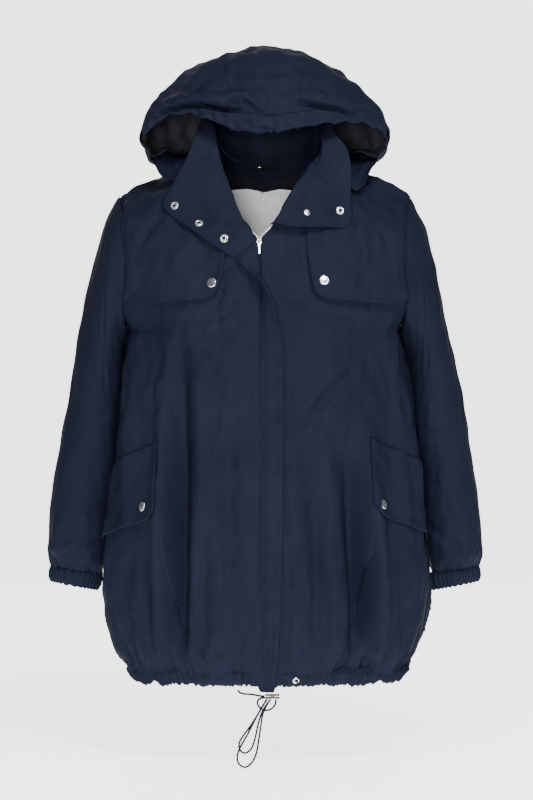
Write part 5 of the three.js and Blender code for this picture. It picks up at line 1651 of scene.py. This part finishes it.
for side_name in SIDES:
    stitch_rows(f"princess_stitches_{side_name}", [
        (f"front_panel_{side_name}", "right", distance, 0.3, 0.575) for distance in (2, 8)
    ])
    stitch_rows(f"storm_flap_stitches_{side_name}", [
        (f"storm_flap_cloth_{side_name}", edge, distance, 0.01, end)
        for edge, end in (("left", 0.62), ("bottom", 0.97)) for distance in (1.6, 8)
    ])
    stitch_rows(f"pocket_flap_stitches_{side_name}", [
        (f"pocket_flap_cloth_{side_name}", edge, distance, 0.03, 0.97)
        for edge in ("left", "bottom", "top") for distance in (1.6, 7)
    ])
    stitch_rows(f"sleeve_seam_stitches_{side_name}", [(f"sleeve_cloth_{side_name}", "bottom", 7, 0, 1)])
    stitch_rows(f"cuff_stitches_{side_name}", [
        (f"cuff_cloth_{side_name}", "bottom", distance, 0, 1) for distance in (2, 13, 23)
    ])
    stitch_rows(f"hem_stitches_{side_name}", [(f"hem_channel_{side_name}_front", "top", 5.6, 0, 1)])
stitch_rows("hem_stitches_rear", [("hem_channel_rear", "top", 5.6, 0, 1)])
stitch_rows("collar_stitches", [
    ("collar_leaves", edge, distance, start, end)
    for edge, start, end in (("top", 0.005, 0.995), ("left", 0.35, 0.99), ("right", 0.35, 0.99))
    for distance in (1.6, 7)
])
stitch_rows("hood_stitches", [
    ("hood_centre_panel", "left", 3, 0.1, 0.6), ("hood_centre_panel", "right", 3, 0.1, 0.6),
    ("hood_brim_casing", "top", 2.2, 0.01, 0.99),
])
stitch_rows("placket_stitches", [
    ("placket_strip", "left", 13, 0.03, 0.72), ("placket_strip", "right", 1.8, 0.03, 0.98),
    ("placket_strip", "right", 9, 0.03, 0.72),
])
stitch_rows("neck_tape_stitches", [("neck_tape_cloth", edge, 1.2, 0, 1) for edge in ("top", "bottom")])


# ---- Hard pieces -------------------------------------------------------------
def spun(profile, segments=40):
    """A solid of revolution about Z, from a profile of (radius, height) in millimetres, as a bmesh."""
    shape = bmesh.new()
    bmesh.ops.create_circle(shape, cap_ends=False, radius=1.0, segments=len(profile))
    shape.verts.ensure_lookup_table()
    for vertex, (radius, height) in zip(shape.verts, profile):
        vertex.co = (radius, 0, height)
    bmesh.ops.spin(shape, geom=shape.verts[:] + shape.edges[:], cent=(0, 0, 0), axis=(0, 0, 1),
                   angle=2 * math.pi, steps=segments, use_merge=True)
    bmesh.ops.remove_doubles(shape, verts=shape.verts, dist=1e-4)
    bmesh.ops.recalc_face_normals(shape, faces=shape.faces)
    return shape


def rounded(shape, edges, corner, segments):
    bmesh.ops.bevel(shape, geom=edges, offset=corner, offset_type="OFFSET", segments=segments,
                    profile=0.5, affect="EDGES", clamp_overlap=True, material=-1)


def moved(shape, offset):
    bmesh.ops.translate(shape, vec=offset, verts=shape.verts)
    return shape


def box(size):
    shape = bmesh.new()
    bmesh.ops.create_cube(shape, size=1.0)
    bmesh.ops.scale(shape, vec=size, verts=shape.verts)
    return shape


def block(size, corner, segments=3):
    """A box with rounded edges, in millimetres, as a bmesh."""
    shape = box(size)
    rounded(shape, shape.edges[:], corner, segments)
    return shape


def seated(shape, point, facing):
    """Moves a shape made along +Z to face a way at a point."""
    out = Vector(facing).normalized()
    basis = out.to_track_quat("Z", "Y").to_matrix().to_4x4()
    shape.transform(Matrix.Translation(Vector(point)) @ basis)
    return shape


SHARP_ANGLE = math.radians(40)


def hard_piece(name, shapes, material, nodes, body=GARMENT):
    """Joins shapes in millimetres into one finished piece."""
    mesh = bpy.data.meshes.new(name)
    whole_shape = bmesh.new()
    for shape in shapes:
        part = bpy.data.meshes.new(name + " part")
        shape.to_mesh(part)
        shape.free()
        whole_shape.from_mesh(part)
        bpy.data.meshes.remove(part)
    bmesh.ops.scale(whole_shape, vec=(MM, MM, MM), verts=whole_shape.verts)
    whole_shape.to_mesh(mesh)
    whole_shape.free()
    shade_smooth(mesh)
    mesh.set_sharp_from_angle(angle=SHARP_ANGLE)
    finished(name, mesh, material, body, nodes)


CAP_PROFILE = [
    (0.01, 0.4), (6.4, 0.4), (7.2, 0.1), (7.5, 0.5), (7.5, 0.9), (7.25, 1.5), (6.6, 1.9), (5.9, 2.0),
    (5.5, 1.85), (5.0, 1.95), (3.2, 2.2), (1.4, 2.3), (0.01, 2.32),
]
SOCKET_PROFILE = [
    (2.3, 0.3), (6.3, 0.0), (6.5, 0.4), (6.4, 1.0), (5.9, 1.5), (5.1, 1.7), (4.6, 1.5), (4.3, 1.05),
    (3.8, 0.95), (3.4, 1.3), (3.1, 1.9), (2.7, 2.0), (2.4, 1.7), (2.3, 1.0),
]
STUD_PROFILE = [
    (0.01, 0.1), (4.8, 0.0), (5.0, 0.5), (4.6, 1.0), (3.4, 1.2), (2.5, 1.35), (2.2, 1.8), (2.5, 2.5),
    (2.3, 3.1), (1.5, 3.5), (0.01, 3.55),
]
EYELET_PROFILE = [
    (2.3, -0.2), (4.9, -0.1), (5.1, 0.3), (4.8, 0.9), (4.0, 1.25), (3.1, 1.2), (2.5, 0.8), (2.3, 0.3),
]
SNAP_SINK = 0.15


def nearest(names, point):
    """The closest point of finished cloth, and the way out of it there."""
    best = None
    for name in names:
        surface = SURFACES[name]
        away = np.linalg.norm(surface["final"] - point, axis=-1)
        spot = np.unravel_index(np.argmin(away), away.shape)
        if best is None or away[spot] < best[0]:
            r, c = spot
            near = surface["facing"][max(r - 2, 0):r + 3, max(c - 2, 0):c + 3].reshape(-1, 3).mean(axis=0)
            best = (away[spot], surface["final"][spot], unit(near))
    return best[1], best[2]


def snap(name, profile, material, nodes, names, guess):
    point, out = nearest(names, np.array(guess, float))
    hard_piece(name, [seated(spun(profile), point - out * SNAP_SINK, out)], material, nodes)


for name, row, t_at in (("snap_socket_lapel_top", 3.15, 0.92), ("snap_socket_lapel_middle", 2.2, 0.86),
                        ("snap_socket_lapel_bottom", 1.15, 0.82), ("snap_socket_leaf_left", 16.55, 0.9)):
    spot = collar_point(row, t_at)
    snap(name + "_ring", SOCKET_PROFILE, SILVER, [name], ["collar_leaves"], spot)
snap("snap_stud_leaf_left_post", STUD_PROFILE, SILVER, ["snap_stud_leaf_left"], ["collar_leaves"],
     collar_point(17.3, 0.7))
for name, side_name, x, z_at, kind in (
    ("snap_cap_storm_right", "right", -79, -169, "storm"), ("snap_cap_storm_left", "left", 89, -161, "storm"),
    ("snap_cap_pocket_right", "right", -183, -505, "pocket"),
    ("snap_cap_pocket_left", "left", 169, -502, "pocket"),
):
    guess, _ = on_fronts(x, z_at, 4.0)
    snap(name + "_dome", CAP_PROFILE, SILVER, [name], [f"{kind}_flap_cloth_{side_name}"], guess)
eyelet_spot, _ = on_fronts(49, -764, 1.0)
snap("hem_eyelet_ring", EYELET_PROFILE, SILVER, ["hem_eyelet_left"], ["hem_channel_left_front"], eyelet_spot)

# The zip: its teeth, slider and pull tab.
ZIP_AT = Vector((-7.966, -124.607, -105.0))
TOOTH_PITCH = 2.5
TOOTH_SIZE = (2.6, 1.4, 1.0)
TEETH_BOTTOM, TEETH_TOP = -770, -82
TEETH_OPEN, TEETH_DEPTH, TEETH_DEEPER = 17, 2.2, 1.4


def zip_teeth():
    z = np.arange(TEETH_BOTTOM, TEETH_TOP, TOOTH_PITCH)
    parted = TEETH_OPEN * smooth_step(z, -101, -77)
    pieces = []
    for way in (-1, 1):
        places, facing = on_fronts(np.interp(z, ZIP_Z, ZIP_X), z + 0.6 * way, -TEETH_DEPTH)
        places -= facing * (TEETH_DEEPER * smooth_step(-z, 108, 120))[:, None]
        places[:, 0] += way * (parted + 0.7)
        pieces += [moved(block(TOOTH_SIZE, 0.25, 1), place.tolist()) for place in places]
    return pieces


hard_piece("zip_teeth", zip_teeth(), SILVER, ["zip_chain"])
# Each block of the slider is (size, corner, place from the zip's meeting point).
SLIDER = (
    ((2.6, 1.6, 7.4), 0.7, (-2.7, -1.4, 1.6)),
    ((2.6, 1.6, 7.4), 0.7, (2.7, -1.4, 1.6)),
    ((5.4, 1.4, 4.2), 0.6, (0, -1.4, -3)),
    ((2.2, 4.2, 1.5), 0.5, (0, -0.1, 2)),
    ((6.6, 1.4, 9.6), 0.6, (0, 1.3, 0)),
    ((2.0, 1.6, 5.4), 0.5, (0, -3.0, -0.2)),
)
slider_parts = [moved(block(size, corner), ZIP_AT + Vector(place)) for size, corner, place in SLIDER]
hard_piece("zip_slider_body", slider_parts, SILVER, ["zip_slider"])
pull = box((2.9, 1.1, 16.6))
upright = [edge for edge in pull.edges if abs((edge.verts[0].co - edge.verts[1].co).y) > 0.5]
rounded(pull, upright, 1.3, 6)
rounded(pull, pull.edges[:], 0.2, 1)
moved(pull, ZIP_AT + Vector((0, -5, -9)))
hard_piece("zip_pull_tab", [pull], SILVER, ["zip_pull"], body=PULL_TAB)

# The cord stop: two bars, one above the other, with a block between them. Then the hanger's ring.
STOP_AT = Vector((12, -141, -789))
STOP_PARTS = (((22, 6.6, 2.8), 1.3, 2.1), ((22, 6.6, 2.8), 1.3, -2.1), ((5, 5.4, 6.4), 1.0, 0))
stop_parts = [moved(block(size, corner), STOP_AT + Vector((0, 0, dz))) for size, corner, dz in STOP_PARTS]
hard_piece("cord_stop_bars", stop_parts, DARK_METAL, ["cord_stop"])
RING_PROFILE = [(3.5, 0.2), (4.2, 0.0), (4.9, 0.3), (5.0, 0.9), (4.6, 1.5), (3.9, 1.6), (3.5, 1.2)]
RING_AT = (-8, 56, 24)
hard_piece("hanger_ring_band", [moved(spun(RING_PROFILE), RING_AT)], SILVER, ["hanger_ring"])


# ---- The room and its light --------------------------------------------------
FLOOR = CAD_BOX[0][2] - 0.002
STAGE_GLOW, BACKDROP_GLOW = 0.5, 2.5  # the paper glows more where it is behind the garment
STAGE_HALF, WALL_HEIGHT, BEND = 8.0, 10, 4.0
PAPER = (0.9, 0.9, 0.9)
stage_shape = bmesh.new()
bmesh.ops.create_grid(stage_shape, x_segments=1, y_segments=1, size=STAGE_HALF)
at_back = STAGE_HALF - 0.1
back_edge = [edge for edge in stage_shape.edges if all(v.co.y > at_back for v in edge.verts)]
raised = bmesh.ops.extrude_edge_only(stage_shape, edges=back_edge)
raised_verts = [v for v in raised["geom"] if isinstance(v, bmesh.types.BMVert)]
bmesh.ops.translate(stage_shape, vec=(0, 0, WALL_HEIGHT), verts=raised_verts)
bend = [edge for edge in stage_shape.edges if all(v.co.y > at_back and v.co.z < 0.1 for v in edge.verts)]
rounded(stage_shape, bend, BEND, 24)
moved(stage_shape, (0, 0, FLOOR))
stage_mesh = bpy.data.meshes.new("floor and backdrop")
stage_shape.to_mesh(stage_mesh)
stage_shape.free()
shade_smooth(stage_mesh)
stage_material, stage_nodes, stage_shader = new_material("white paper", PAPER)
place = stage_nodes.add("ShaderNodeTexCoord").outputs["Object"]
place = stage_nodes.add("ShaderNodeSeparateXYZ", {0: place}).outputs


def lit_where(value, low, high, at_low, at_high):
    """A value from at_low to at_high, as another goes from low to high."""
    given = {"Value": value, "From Min": low, "From Max": high, "To Min": at_low, "To Max": at_high}
    return stage_nodes.add("ShaderNodeMapRange", given).outputs[0]


reach = stage_nodes.math("ADD", 0.75, stage_nodes.math("MULTIPLY", place["Y"], 0.125))
outside = stage_nodes.math("SUBTRACT", stage_nodes.math("ABSOLUTE", place["X"]), reach)
narrow = lit_where(outside, 0.0, 0.7, 1.0, 0.0)
behind = lit_where(place["Y"], -1.1, -0.5, 0.0, 1.0)
low = lit_where(place["Z"], 1.9, 2.6, 1.0, 0.0)
lit = stage_nodes.math("MULTIPLY", narrow, stage_nodes.math("MULTIPLY", behind, low))
extra = stage_nodes.math("MULTIPLY", lit, BACKDROP_GLOW - STAGE_GLOW)
stage_nodes.fill(stage_shader, {
    "Base Color": (*PAPER, 1), "Roughness": 0.9, "Emission Color": (1, 1, 1, 1),
    "Emission Strength": stage_nodes.math("ADD", STAGE_GLOW, extra),
})
stage_mesh.materials.append(stage_material)
stage = bpy.data.objects.new("floor and backdrop", stage_mesh)
bpy.context.collection.objects.link(stage)


def softbox(name, place, target, size, power):
    data = bpy.data.lights.new(name, "AREA")
    data.shape = "RECTANGLE"
    data.size, data.size_y = size
    data.energy = power
    light = bpy.data.objects.new(name, data)
    light.location = place
    light.rotation_euler = (Vector(target) - Vector(place)).to_track_quat("-Z", "Y").to_euler()
    bpy.context.collection.objects.link(light)


# Each softbox has its place, what it is aimed at, its size in metres and its power in watts.
softbox("key", (0.7, -2.6, 2.2), (0, 0, -0.3), (1.0, 1.0), 160)
softbox("fill", (-0.3, -3.9, -0.3), (0, 0, 0.2), (0.9, 0.7), 118)
softbox("top", (0.2, -0.6, 2.6), (0, 0, -0.2), (2.2, 1.6), 16)
softbox("rear", (-0.4, 3.2, 1.2), (0, 0, -0.2), (2.6, 2.0), 30)
world = bpy.data.worlds.new("studio")
world.use_nodes = True
background = world.node_tree.nodes["Background"].inputs
background["Color"].default_value = (0.95, 0.97, 1.0, 1)
background["Strength"].default_value = 0.16
bpy.context.scene.world = world
